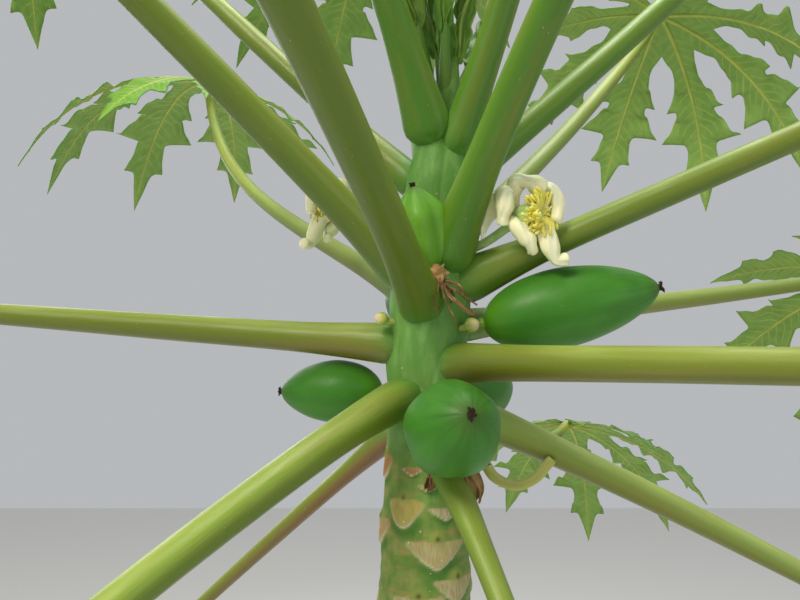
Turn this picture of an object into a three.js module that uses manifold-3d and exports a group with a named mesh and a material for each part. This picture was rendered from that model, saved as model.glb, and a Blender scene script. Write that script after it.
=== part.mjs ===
// A papaya tree: one leaning, tapering trunk, long hollow leaf stalks set round it in a spiral,
// deeply lobed blades, young folded leaves in the heart, and the fruit and blossom of the leaf axils.
// Millimetres, +Z up. The origin is the middle of the flat cut at ground level.
// The azimuth of a part is counted from +X towards +Y, and its rise from the level, in degrees.
import * as THREE from "three";
import { mergeVertices } from "three/addons/utils/BufferGeometryUtils.js";
import Module from "manifold-3d";

const wasm = await Module();
wasm.setup();

// Trunk
const CROWN_FOOT = 1200; // height of the lowest live leaves
const TRUNK_TIP = 1680; // height of the growing point
const TRUNK_RADIUS_LOW = 53;
const TRUNK_RADIUS_FOOT = 39.5; // radius at the crown's foot
const TIP_TAPER = 0.47; // power of the taper from the crown's foot to the tip
const TIP_RADIUS = 1.5;
const FLARE = 17; // extra radius of the root flare at the cut
const FLARE_HEIGHT = 75;
const FLARE_RIBS = 5;
const FLARE_RIB_DEPTH = 0.09; // by the radius, at the cut
const FLARE_RIB_TURN = 0.6; // where the first rib stands, in radians
const LEAN = 0.0245; // run towards +X for each unit of height
const TIP_BEND_START = 1450;
const TIP_BEND_SPAN = 200;
const TIP_BEND = 12; // extra run of the axis one span above the start of its bend
const TRUNK_SIDES = 18;
const TRUNK_RINGS = 20;
const RING_CROWDING = 1.15; // over 1, the rings stand closer towards the tip

// Spiral of the leaves: each next one stands a golden angle on, and a little closer than the last
const FIRST_AZIMUTH = -80;
const GOLDEN_TURN = -137.5;
const FIRST_HEIGHT = 1312;
const HEIGHT_STEP = 17.5;
const STEP_LOSS = 0.12; // how the step shrinks towards the tip

// Leaf stalk
const GAP = 0.3; // clear space between neighbouring solids
const STALK_SIDES = 8;
const STALK_RINGS = 9;
const STALK_STEPS = 40; // short steps that the line of a stalk is worked out in
const RING_SPREAD = 1.25; // over 1, the rings stand closer near the trunk
const ROOT_DEPTH = 0.55; // how far a stalk's line starts inside the trunk, by the trunk's radius
const SWELL_REACH = 62; // how far a stalk's swollen foot reaches
const STALK_FLATNESS = 0.93; // height of a stalk's section to its width

// Blade
const BLADE_RADIUS = 335; // from the stalk's end to the tip of the middle lobe
const BLADE_THICKNESS = 6;
const BLADE_CURL = 0.0034; // how quickly a blade arches down, in radians for each millimetre
const RIB_FOLD = 0.1; // how far a lobe's margin lies above its rib, by its half width
const RIB_START = 0.2; // the first point of a rib, by the lobe's length
const SINUS_REACH = 0.24; // depth that the cuts between lobes leave, by the blade's radius
const STALK_SINUS_REACH = 0.04; // the same for the cut over the stalk
const FULL_LOBES = 1.6; // reach of two neighbouring lobes that leaves the cut between them at full depth
// Each lobe: its angle from the middle lobe, its length by the blade's radius, and whether it has side lobes
const LOBES = [
  { angle: -158, reach: 0.42, sideLobes: false },
  { angle: -118, reach: 0.68, sideLobes: false },
  { angle: -77, reach: 0.87, sideLobes: true },
  { angle: -38, reach: 0.97, sideLobes: true },
  { angle: 0, reach: 1, sideLobes: true },
  { angle: 38, reach: 0.97, sideLobes: true },
  { angle: 77, reach: 0.87, sideLobes: true },
  { angle: 118, reach: 0.68, sideLobes: false },
  { angle: 158, reach: 0.42, sideLobes: false },
];
// Margin of a lobe: places along its rib, the half width there and the rib point joined to it, by the lobe's length
const MARGIN_PLAIN = [{ along: 0.6, half: 0.17, rib: 0.6 }];
const MARGIN_LOBED = [
  { along: 0.44, half: 0.1, rib: 0.42 },
  { along: 0.7, half: 0.25, rib: 0.58 },
  { along: 0.74, half: 0.09, rib: 0.72 },
];

// Leaves from the lowest up, four groups of numbers each:
// turn and lift off the exact spiral;
// the stalk's rise at the trunk and at the blade, and the power of the change (under 1 bends early, over 1 late);
// its length, and its width at the foot, along the shaft and at the tip;
// the blade's pitch, and its scale.
const LEAVES = [
  leaf([12, -2], [-36, -52, 0.5], [480, 28, 22, 12], [-76, 0.8]),
  leaf([0, 6], [-36, -38, 0.5], [500, 27, 20, 12], [-66, 0.8]),
  leaf([0, 4], [-14, -29, 0.18], [620, 36, 31, 15], [-56, 0.95]),
  leaf([2, 3], [-8, -30, 0.22], [680, 37, 32, 20], [-56, 1]),
  leaf([-22, 0], [-17, 8, 2], [620, 34, 28, 15], [-17, 0.85]),
  leaf([0, -1], [0, -1, 1], [700, 37, 33, 16], [-42, 1]),
  leaf([-3, 0], [4, 5, 1], [680, 39, 32, 15], [-40, 1]),
  leaf([-7, 1], [6, 8, 1], [690, 32, 25, 17], [-38, 1]),
  leaf([-6, 0], [33, 19, 0.5], [720, 38, 32, 25], [-28, 1]),
  leaf([4, -2], [23, 82, 4], [600, 30, 23, 14], [16, 0.95]),
  leaf([0, -8], [22, 22, 1], [700, 42, 27, 19], [-28, 1]),
  leaf([0, -16], [42, 38, 1], [690, 38, 33, 22], [-26, 1]),
  leaf([-20, 0], [32, 42, 1], [640, 30, 24, 14], [-24, 0.95]),
  leaf([6, -32], [55, 38, 0.6], [660, 43, 33, 20], [-20, 1]),
  leaf([0, 26], [42, 46, 1], [720, 32, 26, 15], [-14, 0.95]),
  leaf([0, 14], [38, 45, 0.5], [780, 33, 28, 16], [-18, 0.95]),
  leaf([-10, 40], [62, 52, 1], [620, 42, 32, 16], [-8, 0.9]),
  leaf([4, 0], [58, 56, 1], [400, 30, 24, 13], [8, 0.85]),
  leaf([-8, 2], [62, 72, 0.6], [500, 34, 31, 14], [0, 0.8]),
];
const PALE_LEAVES = [2, 7, 12]; // leaves with a whitish bloom on the stalk, counted from 0

// Young leaves of the heart, still folded: slope, length and width of the stalk, length and number of the lobes
const YOUNG_LEAVES = [
  { rise: 80, length: 150, width: 16, bud: 200, buds: 4 },
  { rise: 58, length: 120, width: 16, bud: 190, buds: 4 },
  { rise: 82, length: 130, width: 13, bud: 150, buds: 3 },
  { rise: 80, length: 95, width: 12, bud: 130, buds: 3 },
  { rise: 78, length: 60, width: 11, bud: 110, buds: 3 },
  { rise: 84, length: 35, width: 10, bud: 90, buds: 3 },
];
const BUD_BULGE = 0.075; // how far the folded lobes stand out from their middle line, by their length
const BUD_SHARE = 0.85; // width of a folded lobe by its stalk's

// Fruit: place of the stalk on the trunk by azimuth and height, the way that the fruit points,
// then its length and greatest width, the length of its stalk and how deep its five ribs are
const FRUITS = [
  fruit("fruit_long_right", [-30, 1424], [-5, 12], [156, 70, 22, 0.02]),
  fruit("fruit_front", [-80, 1328], [-78, 16], [96, 77, 12, 0.05]),
  fruit("fruit_left", [150, 1368], [168, 0], [98, 58, 14, 0.03]),
  fruit("fruit_young_upright", [-86, 1461], [-128, 70], [78, 43, 12, 0.08]),
  fruit("fruit_back_low", [62, 1380], [58, -8], [112, 66, 16, 0.04]),
  fruit("fruit_back_high", [105, 1436], [100, 18], [88, 50, 16, 0.06]),
];
const FRUIT_SIDES = 15;
const FRUIT_RINGS = 8;
const FRUIT_LOBES = 5;
const FRUIT_WIDEST = 0.84; // power that moves the widest place of a fruit from its middle towards its tip
const FRUIT_FULLNESS = 0.54; // power of its outline: the smaller, the blunter its ends
const FRUIT_STALK_RADIUS = 5;
const FRUIT_STALK_ROOT = 8; // how far its stalk's line starts inside the trunk

// Blossom: where each flower's stalk stands on the trunk, where the flower sits and the way that it faces
const FLOWERS = [
  { name: "flower_right", azimuth: -15, height: 1492, centre: [108, -42, 1518], faces: [-40, 8], size: 1 },
  { name: "flower_left", azimuth: 165, height: 1518, centre: [-46, 34, 1538], faces: [170, 10], size: 0.9 },
  { name: "flower_back", azimuth: 75, height: 1480, centre: [62, 92, 1500], faces: [72, 14], size: 0.9 },
];
const PETALS = 5;
const PETAL_LENGTH = 54;
const PETAL_WIDTH = 17;
const PETAL_THICKNESS = 0.34; // by its width
const PETAL_RISE = 0.5; // how steeply a petal leaves the flower's axis, in radians
const PETAL_ROLL = 2.6; // how far it rolls back to its tip, in radians
const OVARY_LENGTH = 30;
const OVARY_WIDTH = 23;
const DRIED_FLOWERS = [
  { name: "dried_flower_front", azimuth: -62, height: 1464, centre: [54, -44, 1456], hang: 34, size: 1 },
  { name: "dried_flower_low", azimuth: -56, height: 1304, centre: [64, -46, 1299], hang: 24, size: 0.7 },
];
const DRIED_PETALS = 3;
const DRIED_SPREAD = 11;
const BUDS = [
  { name: "bud_right", centre: [70, -34, 1428], radius: 6.5 },
  { name: "bud_left", centre: [-8, -22, 1434], radius: 6 },
];
const STEM_ROOT = 0.8; // depth that a flower's stalk starts at, by the trunk's radius
const STEM_SAG = 0.06; // by the length of the stalk

// The bent stalk of a lost flower: out from the trunk, down and up again
const BENT_STALK_WIDTH = 9.2;
const BENT_STALK_ROUTE = [
  [58, 0, 1322],
  [80, -4, 1310],
  [92, -6, 1294],
  [110, -6, 1287],
  [128, -6, 1293],
  [143, -6, 1310],
];

const bark = finish("trunk bark", 0x8f9070, 0.85);
const stalkSkin = finish("leaf stalk skin", 0x84a048, 0.42);
const paleStalkSkin = finish("pale leaf stalk skin", 0x9fb57c, 0.48);
const bladeSkin = finish("leaf blade", 0x3e7d22, 0.5);
const youngSkin = finish("young leaf", 0x6f9a3c, 0.5);
const fruitSkin = finish("unripe fruit skin", 0x4c8a2c, 0.36);
const petalSkin = finish("cream petal", 0xe9ecc2, 0.55);
const driedSkin = finish("dried flower", 0x8a6236, 0.9);

function leaf([turn, lift], [riseFoot, riseEnd, bend], [length, foot, shaft, tip], [pitch, size]) {
  return { turn, lift, riseFoot, riseEnd, bend, length, foot, shaft, tip, pitch, size };
}

function fruit(name, [azimuth, height], points, [length, width, stalk, ribs]) {
  return { name, azimuth, height, points, length, width, stalk, ribs };
}

function finish(name, color, roughness) {
  return new THREE.MeshStandardMaterial({ name, color, roughness, metalness: 0 });
}

// Solids are joined and cut as manifolds and drawn as buffer geometries.
function solidOf(geometry) {
  const bare = geometry.clone();
  bare.deleteAttribute("normal");
  bare.deleteAttribute("uv");
  const merged = mergeVertices(bare, 1e-4);
  return new wasm.Manifold(
    new wasm.Mesh({
      numProp: 3,
      vertProperties: merged.attributes.position.array,
      triVerts: new Uint32Array(merged.index.array),
    }),
  );
}

function geometryOf(solid) {
  const mesh = solid.getMesh();
  const geometry = new THREE.BufferGeometry();
  geometry.setAttribute("position", new THREE.BufferAttribute(mesh.vertProperties, 3));
  geometry.setIndex(new THREE.BufferAttribute(mesh.triVerts, 1));
  geometry.computeVertexNormals();
  return geometry;
}

function largestBody(solid) {
  return solid.decompose().sort((a, b) => b.volume() - a.volume())[0];
}

function union(solids) {
  return solids.reduce((whole, solid) => whole.add(solid));
}

function cutClear(solid, cutters) {
  return largestBody(cutters.reduce((left, cutter) => left.subtract(cutter), solid));
}

// The unit vector of an azimuth and a rise
function heading(azimuth, rise) {
  const a = THREE.MathUtils.degToRad(azimuth);
  const r = THREE.MathUtils.degToRad(rise);
  return new THREE.Vector3(Math.cos(a) * Math.cos(r), Math.sin(a) * Math.cos(r), Math.sin(r));
}

function trunkAxis(height) {
  const bend = Math.max(0, (height - TIP_BEND_START) / TIP_BEND_SPAN);
  return new THREE.Vector3(LEAN * height + TIP_BEND * bend * bend, 0, height);
}

function trunkRadius(height) {
  if (height > CROWN_FOOT) {
    const up = Math.min(1, (height - CROWN_FOOT) / (TRUNK_TIP - CROWN_FOOT));
    return TRUNK_RADIUS_FOOT * (1 - up) ** TIP_TAPER;
  }
  const straight = THREE.MathUtils.lerp(TRUNK_RADIUS_LOW, TRUNK_RADIUS_FOOT, height / CROWN_FOOT);
  return straight + FLARE * Math.exp(-height / FLARE_HEIGHT);
}

function onTrunk(azimuth, height, depth = 1) {
  return heading(azimuth, 0).multiplyScalar(trunkRadius(height) * depth).add(trunkAxis(height));
}

// A closed limb through elliptical rings with flat ends: a unit cylinder whose rings are moved to the stations.
function limb(stations, sides) {
  const rings = stations.length - 1;
  const geometry = new THREE.CylinderGeometry(1, 1, rings, sides, rings);
  const position = geometry.attributes.position;
  for (let i = 0; i < position.count; i++) {
    const ring = Math.round(position.getY(i) + rings / 2);
    const { centre, across, over, halfWidth, halfHeight } = stations[ring];
    const point = centre
      .clone()
      .addScaledVector(across, position.getX(i) * halfWidth)
      .addScaledVector(over, position.getZ(i) * halfHeight);
    position.setXYZ(i, point.x, point.y, point.z);
  }
  return geometry;
}

// Stations along a list of points, square to the way that they run; widthAt gives the width at a ring's number.
function stationsAlong(points, across, widthAt, flatness = 1) {
  return points.map((centre, i) => {
    const before = points[Math.max(0, i - 1)];
    const after = points[Math.min(points.length - 1, i + 1)];
    const along = after.clone().sub(before).normalize();
    const side = across.clone().addScaledVector(along, -across.dot(along)).normalize();
    const half = widthAt(i) / 2;
    return {
      centre,
      across: side,
      over: side.clone().cross(along),
      halfWidth: half,
      halfHeight: half * flatness,
    };
  });
}

function makeTrunk(grow) {
  const stations = [];
  for (let i = 0; i <= TRUNK_RINGS; i++) {
    const height = TRUNK_TIP * (1 - (1 - i / TRUNK_RINGS) ** RING_CROWDING);
    const radius = Math.max(TIP_RADIUS, trunkRadius(height)) + grow;
    stations.push({
      centre: trunkAxis(height),
      across: new THREE.Vector3(1, 0, 0),
      over: new THREE.Vector3(0, -1, 0),
      halfWidth: radius,
      halfHeight: radius,
    });
  }
  const geometry = limb(stations, TRUNK_SIDES);
  const position = geometry.attributes.position;
  for (let i = 0; i < position.count; i++) {
    const swell = FLARE_RIB_DEPTH * Math.exp(-position.getZ(i) / FLARE_HEIGHT);
    const around = Math.atan2(position.getY(i), position.getX(i));
    const scale = 1 + swell * Math.cos(FLARE_RIBS * around + FLARE_RIB_TURN);
    position.setX(i, position.getX(i) * scale);
    position.setY(i, position.getY(i) * scale);
  }
  return solidOf(geometry);
}

function leafAzimuth(index, turn) {
  return FIRST_AZIMUTH + GOLDEN_TURN * index + turn;
}

function leafHeight(index, lift) {
  return FIRST_HEIGHT + HEIGHT_STEP * index - STEP_LOSS * index * index + lift;
}

// The line of a leaf stalk, from inside the trunk to the blade, and how far along it each point lies.
function stalkLine(leaf, index) {
  const azimuth = leafAzimuth(index, leaf.turn);
  const height = leafHeight(index, leaf.lift);
  const start = onTrunk(azimuth, height);
  const root = ROOT_DEPTH * trunkRadius(height);
  const points = [start.clone().addScaledVector(heading(azimuth, leaf.riseFoot), -root), start.clone()];
  const gone = [0, 0];
  const step = leaf.length / STALK_STEPS;
  const ringShare = (ring) => (ring / (STALK_RINGS - 1)) ** RING_SPREAD - 1e-9;
  const point = start.clone();
  let ring = 1;
  for (let i = 1; i <= STALK_STEPS; i++) {
    const share = (i - 0.5) / STALK_STEPS;
    const rise = leaf.riseFoot + (leaf.riseEnd - leaf.riseFoot) * share ** leaf.bend;
    point.addScaledVector(heading(azimuth, rise), step);
    if (i / STALK_STEPS >= ringShare(ring)) {
      points.push(point.clone());
      gone.push(i * step);
      while (i / STALK_STEPS >= ringShare(ring)) ring++;
    }
  }
  return { points, gone, azimuth };
}

function stalkWidth(leaf, gone) {
  const share = gone / leaf.length;
  const shaft = leaf.tip + (leaf.shaft - leaf.tip) * (1 - share);
  return shaft + (leaf.foot - leaf.shaft) * Math.exp(-((gone / SWELL_REACH) ** 2));
}

function makeStalk(leaf, index, grow) {
  const { points, gone, azimuth } = stalkLine(leaf, index);
  const across = heading(azimuth + 90, 0);
  const width = (ring) => stalkWidth(leaf, gone[ring]) + 2 * grow;
  const along = points.at(-1).clone().sub(points.at(-2)).normalize();
  points.push(points.pop().clone().addScaledVector(along, grow));
  return solidOf(limb(stationsAlong(points, across, width, STALK_FLATNESS), STALK_SIDES));
}

// The middle of a blade: so far along the stalk's line that the stalk's flat end just clears the blade's underside.
function bladeCentre(leaf, points) {
  const end = points.at(-1);
  const along = end.clone().sub(points.at(-2)).normalize();
  const angle = Math.asin(along.z) - THREE.MathUtils.degToRad(leaf.pitch);
  const flat = (GAP + BLADE_THICKNESS + (leaf.tip / 2) * Math.cos(angle)) / Math.sin(angle);
  const sag = (BLADE_CURL * flat * flat) / 2;
  return end.clone().addScaledVector(along, flat + sag / Math.sin(angle));
}

// The blade in its own frame: the middle lobe runs along +X, the blade lies in XY and arches down.
// A rib and its two margins make each lobe, and neighbouring lobes share the bottom of the cut between them.
// Flat points are kept as the angle, the distance from the middle and the distance off the rib.
function makeBlade(size) {
  const radius = BLADE_RADIUS * size;
  const flat = [[0, 0, 0]];
  const faces = [];
  const edge = [];
  const cuts = LOBES.map((lobe, i) => {
    const next = LOBES[(i + 1) % LOBES.length];
    const last = i === LOBES.length - 1;
    const angle = last ? 180 : (lobe.angle + next.angle) / 2;
    const reach = last ? STALK_SINUS_REACH : SINUS_REACH * Math.min(1, (lobe.reach + next.reach) / FULL_LOBES);
    return flat.push([angle, reach * radius, 0]) - 1;
  });
  LOBES.forEach((lobe, i) => {
    const length = lobe.reach * radius;
    const margin = lobe.sideLobes ? MARGIN_LOBED : MARGIN_PLAIN;
    const rib = [flat.push([lobe.angle, RIB_START * length, 0]) - 1];
    const sides = { [-1]: [cuts[(i + LOBES.length - 1) % LOBES.length]], 1: [cuts[i]] };
    for (const place of margin) {
      rib.push(flat.push([lobe.angle, place.rib * length, 0]) - 1);
      for (const side of [-1, 1]) {
        const turn = THREE.MathUtils.radToDeg(Math.atan2(place.half, place.along)) * side;
        const out = Math.hypot(place.along, place.half) * length;
        sides[side].push(flat.push([lobe.angle + turn, out, place.half * length]) - 1);
      }
    }
    const tip = flat.push([lobe.angle, length, 0]) - 1;
    faces.push([0, sides[-1][0], rib[0]], [0, rib[0], sides[1][0]]);
    for (let k = 0; k < margin.length; k++) {
      faces.push([rib[k], sides[-1][k], sides[-1][k + 1]], [rib[k], sides[-1][k + 1], rib[k + 1]]);
      faces.push([rib[k], sides[1][k + 1], sides[1][k]], [rib[k], rib[k + 1], sides[1][k + 1]]);
    }
    const lastRing = margin.length;
    faces.push([rib[lastRing], sides[-1][lastRing], tip], [rib[lastRing], tip, sides[1][lastRing]]);
    edge.push(...sides[-1], tip, ...sides[1].slice(1).reverse());
  });
  const vertices = [];
  for (const drop of [0, BLADE_THICKNESS]) {
    for (const point of flat) vertices.push(...onBall(point, drop));
  }
  const under = flat.length;
  const index = [];
  for (const [a, b, c] of faces) index.push(a, b, c, a + under, c + under, b + under);
  edge.forEach((a, i) => {
    const b = edge[(i + 1) % edge.length];
    index.push(a, a + under, b, b, a + under, b + under);
  });
  const geometry = new THREE.BufferGeometry();
  geometry.setAttribute("position", new THREE.Float32BufferAttribute(vertices, 3));
  geometry.setIndex(index);
  return geometry;
}

// A blade bends as if laid on a ball, each lobe along its own great circle; drop is the depth below its top side.
function onBall([angle, out, half], drop) {
  const a = THREE.MathUtils.degToRad(angle);
  const arc = out * BLADE_CURL;
  const run = Math.sin(arc) / BLADE_CURL - drop * Math.sin(arc);
  const fall = (1 - Math.cos(arc)) / BLADE_CURL + drop * Math.cos(arc);
  return [Math.cos(a) * run, Math.sin(a) * run, half * RIB_FOLD - fall];
}

// Turns +X to an azimuth and a rise, with the piece's own top kept uppermost.
function facing(azimuth, rise) {
  const up = new THREE.Vector3(0, 0, 1);
  const level = new THREE.Vector3(0, 1, 0);
  const turn = new THREE.Quaternion().setFromAxisAngle(up, THREE.MathUtils.degToRad(azimuth));
  const tip = new THREE.Quaternion().setFromAxisAngle(level, THREE.MathUtils.degToRad(-rise));
  return turn.multiply(tip);
}

function placeGeometry(geometry, centre, azimuth, rise) {
  const matrix = new THREE.Matrix4().compose(centre, facing(azimuth, rise), new THREE.Vector3(1, 1, 1));
  return geometry.applyMatrix4(matrix);
}

// A young leaf: a stalk and, above it, a bundle of folded lobes like narrow spindles.
function makeYoungLeaf(young, index) {
  const azimuth = leafAzimuth(index, 0);
  const start = onTrunk(azimuth, Math.min(leafHeight(index, 0), TRUNK_TIP - 8), 0.2);
  const along = heading(azimuth, young.rise);
  const across = heading(azimuth + 90, 0);
  const over = across.clone().cross(along);
  const at = (distance) => start.clone().addScaledVector(along, distance);
  const stalkPoints = [0, 0.3, 0.7, 1].map((share) => at(share * young.length));
  const stalkWidths = [1, 0.9, 0.7, 0.6].map((share) => share * young.width);
  const pieces = [solidOf(limb(stationsAlong(stalkPoints, across, (ring) => stalkWidths[ring]), 5))];
  const lobeWidths = [0.3, 1, 0.1].map((share) => share * young.width * BUD_SHARE);
  for (let lobe = 0; lobe < young.buds; lobe++) {
    const turn = (lobe / young.buds) * 2 * Math.PI;
    const out = across.clone().multiplyScalar(Math.cos(turn)).addScaledVector(over, Math.sin(turn));
    const reach = young.bud * (1 - 0.12 * (lobe % 3));
    const line = [-0.04, 0.35, 1].map((share) => {
      const bulge = BUD_BULGE * young.bud * Math.sin(Math.max(0, share) * 2.4);
      return at(young.length + share * reach).addScaledVector(out, bulge);
    });
    pieces.push(solidOf(limb(stationsAlong(line, across, (ring) => lobeWidths[ring]), 4)));
  }
  return union(pieces);
}

// A fruit along +X from the start of its stalk: its outline is turned round the axis and given five ribs.
function makeFruit(fruit) {
  const outline = [
    new THREE.Vector2(0, -FRUIT_STALK_ROOT),
    new THREE.Vector2(FRUIT_STALK_RADIUS, -FRUIT_STALK_ROOT),
    new THREE.Vector2(FRUIT_STALK_RADIUS, fruit.stalk),
  ];
  for (let i = 1; i < FRUIT_RINGS; i++) {
    const share = i / FRUIT_RINGS;
    const swell = Math.sin(Math.PI * share ** FRUIT_WIDEST) ** FRUIT_FULLNESS;
    outline.push(new THREE.Vector2((fruit.width / 2) * swell, fruit.stalk + share * fruit.length));
  }
  outline.push(new THREE.Vector2(0, fruit.stalk + fruit.length));
  const geometry = new THREE.LatheGeometry(outline, FRUIT_SIDES);
  const position = geometry.attributes.position;
  for (let i = 0; i < position.count; i++) {
    const around = Math.atan2(position.getX(i), position.getZ(i));
    const scale = 1 + fruit.ribs * Math.cos(FRUIT_LOBES * around);
    position.setX(i, position.getX(i) * scale);
    position.setZ(i, position.getZ(i) * scale);
  }
  return geometry.rotateZ(-Math.PI / 2);
}

// A petal as a flat limb that starts along +X and rolls back at its end.
function petal(angle, size) {
  const widths = [0.5, 1, 0.9, 0.4].map((share) => share * PETAL_WIDTH * size);
  const steps = widths.length - 1;
  const step = (PETAL_LENGTH * size) / steps;
  const out = new THREE.Vector3(0, Math.cos(angle), Math.sin(angle));
  const across = new THREE.Vector3(0, -Math.sin(angle), Math.cos(angle));
  const point = out.clone().multiplyScalar(5 * size);
  const points = widths.map((width, i) => {
    const place = point.clone();
    const rise = PETAL_RISE + (PETAL_ROLL * i) / steps;
    point.x += Math.cos(rise) * step;
    point.addScaledVector(out, Math.sin(rise) * step);
    return place;
  });
  return solidOf(limb(stationsAlong(points, across, (ring) => widths[ring], PETAL_THICKNESS), 4));
}

function stem(from, to, width) {
  const middle = from.clone().lerp(to, 0.5);
  middle.z -= STEM_SAG * from.distanceTo(to);
  return solidOf(limb(stationsAlong([from, middle, to], new THREE.Vector3(0, 0, 1), () => width), 5));
}

// A flower: stalk, green ovary like a little fruit, and petals that roll back.
function makeFlower(flower) {
  const centre = new THREE.Vector3(...flower.centre);
  const half = [OVARY_LENGTH, OVARY_WIDTH, OVARY_WIDTH].map((width) => (width / 2) * flower.size);
  const ovary = new THREE.SphereGeometry(1, 7, 5).scale(...half).translate(0.75 * half[0], 0, 0);
  let head = solidOf(ovary);
  for (let i = 0; i < PETALS; i++) {
    head = head.add(petal((i / PETALS) * 2 * Math.PI + 0.4, flower.size));
  }
  const placed = solidOf(placeGeometry(geometryOf(head), centre, ...flower.faces));
  return placed.add(stem(onTrunk(flower.azimuth, flower.height, STEM_ROOT), centre, 8));
}

// A dried flower: a short stub and shrivelled petals that hang.
function makeDriedFlower(dried) {
  const centre = new THREE.Vector3(...dried.centre);
  const widths = [6, 7, 3].map((width) => width * dried.size);
  const pieces = [stem(onTrunk(dried.azimuth, dried.height, STEM_ROOT), centre, 7)];
  for (let i = 0; i < DRIED_PETALS; i++) {
    const turn = (i * 360) / DRIED_PETALS;
    const out = heading(turn - 70, 0).multiplyScalar(DRIED_SPREAD * dried.size);
    const end = centre.clone().add(out);
    end.z -= dried.hang * (0.7 + 0.2 * i);
    const knee = centre.clone().addScaledVector(out, 1.2);
    knee.z -= 0.3 * dried.hang;
    const stations = stationsAlong([centre, knee, end], heading(turn + 20, 0), (ring) => widths[ring], 0.6);
    pieces.push(solidOf(limb(stations, 4)));
  }
  return union(pieces);
}

function makeBud({ centre: [x, y, z], radius }) {
  const centre = new THREE.Vector3(x, y, z);
  const ball = new THREE.SphereGeometry(radius, 7, 5).scale(1, 1, 1.25).translate(x, y, z);
  const root = trunkAxis(z - 4).lerp(centre, 0.4);
  return solidOf(ball).add(stem(root, centre, radius * 0.9));
}

const group = new THREE.Group();

function show(parent, name, solid, material) {
  const mesh = new THREE.Mesh(geometryOf(solid), material);
  mesh.name = name;
  parent.add(mesh);
}

const number = (index) => String(index + 1).padStart(2, "0");

// Trunk, whole
show(group, "trunk", makeTrunk(0), bark);
const trunkClear = makeTrunk(GAP);

// Leaves: each stalk is cut clear of the trunk and of the older stalks, and carries its blade
const stalkCutters = [];
LEAVES.forEach((leaf, index) => {
  const { points, azimuth } = stalkLine(leaf, index);
  const leafGroup = new THREE.Group();
  const stalk = cutClear(makeStalk(leaf, index, 0), [trunkClear, ...stalkCutters]);
  const skin = PALE_LEAVES.includes(index) ? paleStalkSkin : stalkSkin;
  show(leafGroup, "leaf_stalk_" + number(index), stalk, skin);
  stalkCutters.push(makeStalk(leaf, index, GAP));
  const blade = placeGeometry(makeBlade(leaf.size), bladeCentre(leaf, points), azimuth, leaf.pitch);
  show(leafGroup, "leaf_blade_" + number(index), solidOf(blade), bladeSkin);
  group.add(leafGroup);
});

// Heart of young leaves, each cut clear of the ones outside it
const heart = new THREE.Group();
const heartCutters = [trunkClear, ...stalkCutters];
YOUNG_LEAVES.forEach((young, i) => {
  const wider = { ...young, width: young.width + 2 * GAP };
  const index = LEAVES.length + i;
  show(heart, "young_leaf_" + number(index), cutClear(makeYoungLeaf(young, index), heartCutters), youngSkin);
  heartCutters.push(makeYoungLeaf(wider, index));
});
group.add(heart);

// Fruit and blossom of the axils
const axils = new THREE.Group();
const axilCutters = [trunkClear, ...stalkCutters];
for (const fruit of FRUITS) {
  const start = onTrunk(fruit.azimuth, fruit.height);
  const geometry = placeGeometry(makeFruit(fruit), start, ...fruit.points);
  show(axils, fruit.name, cutClear(solidOf(geometry), axilCutters), fruitSkin);
  const wider = { ...fruit, width: fruit.width + 2 * GAP };
  axilCutters.push(solidOf(placeGeometry(makeFruit(wider), start, ...fruit.points)));
}
for (const flower of FLOWERS) {
  show(axils, flower.name, cutClear(makeFlower(flower), axilCutters), petalSkin);
}
for (const dried of DRIED_FLOWERS) {
  show(axils, dried.name, cutClear(makeDriedFlower(dried), axilCutters), driedSkin);
}
for (const bud of BUDS) {
  show(axils, bud.name, cutClear(makeBud(bud), axilCutters), youngSkin);
}
const bentRoute = BENT_STALK_ROUTE.map((point) => new THREE.Vector3(...point));
const bentStations = stationsAlong(bentRoute, new THREE.Vector3(0, 1, 0), () => BENT_STALK_WIDTH);
show(axils, "bent_flower_stalk", cutClear(solidOf(limb(bentStations, 8)), axilCutters), paleStalkSkin);
group.add(axils);

export default group;
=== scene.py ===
"""A papaya tree: leaning scarred trunk, a spiral of long leaf stalks with lobed blades, fruit and blossom.

Lengths are in millimetres, an azimuth counts from +X towards +Y and a rise from the level, both in degrees,
until add_piece turns a finished shape into metres.
"""

import logging
import math
from dataclasses import dataclass, field
from enum import Enum

import bmesh
import bpy
import numpy as np
from mathutils import Euler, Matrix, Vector
from mathutils.geometry import delaunay_2d_cdt

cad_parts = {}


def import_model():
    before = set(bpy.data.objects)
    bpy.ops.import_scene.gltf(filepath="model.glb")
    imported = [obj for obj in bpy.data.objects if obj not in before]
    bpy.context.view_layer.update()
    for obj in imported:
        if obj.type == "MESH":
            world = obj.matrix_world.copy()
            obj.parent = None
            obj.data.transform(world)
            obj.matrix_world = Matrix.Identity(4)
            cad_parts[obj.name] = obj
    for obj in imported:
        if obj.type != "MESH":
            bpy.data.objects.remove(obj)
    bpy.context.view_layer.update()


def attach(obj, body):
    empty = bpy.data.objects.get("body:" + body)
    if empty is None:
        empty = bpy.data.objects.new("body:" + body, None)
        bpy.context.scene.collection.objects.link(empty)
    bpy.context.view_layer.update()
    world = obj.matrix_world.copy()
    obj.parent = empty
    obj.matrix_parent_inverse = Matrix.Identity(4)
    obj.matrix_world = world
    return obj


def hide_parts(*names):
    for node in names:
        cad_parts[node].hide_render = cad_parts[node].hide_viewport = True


LOG = logging.getLogger("papaya")
MM = 0.001
BODY = "root"
SIDEWAYS = np.array([0.0, 1.0, 0.0])

Array = np.ndarray
Triple = tuple[float, float, float]
Knots = tuple[tuple[float, ...], ...]


# Shapes


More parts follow.
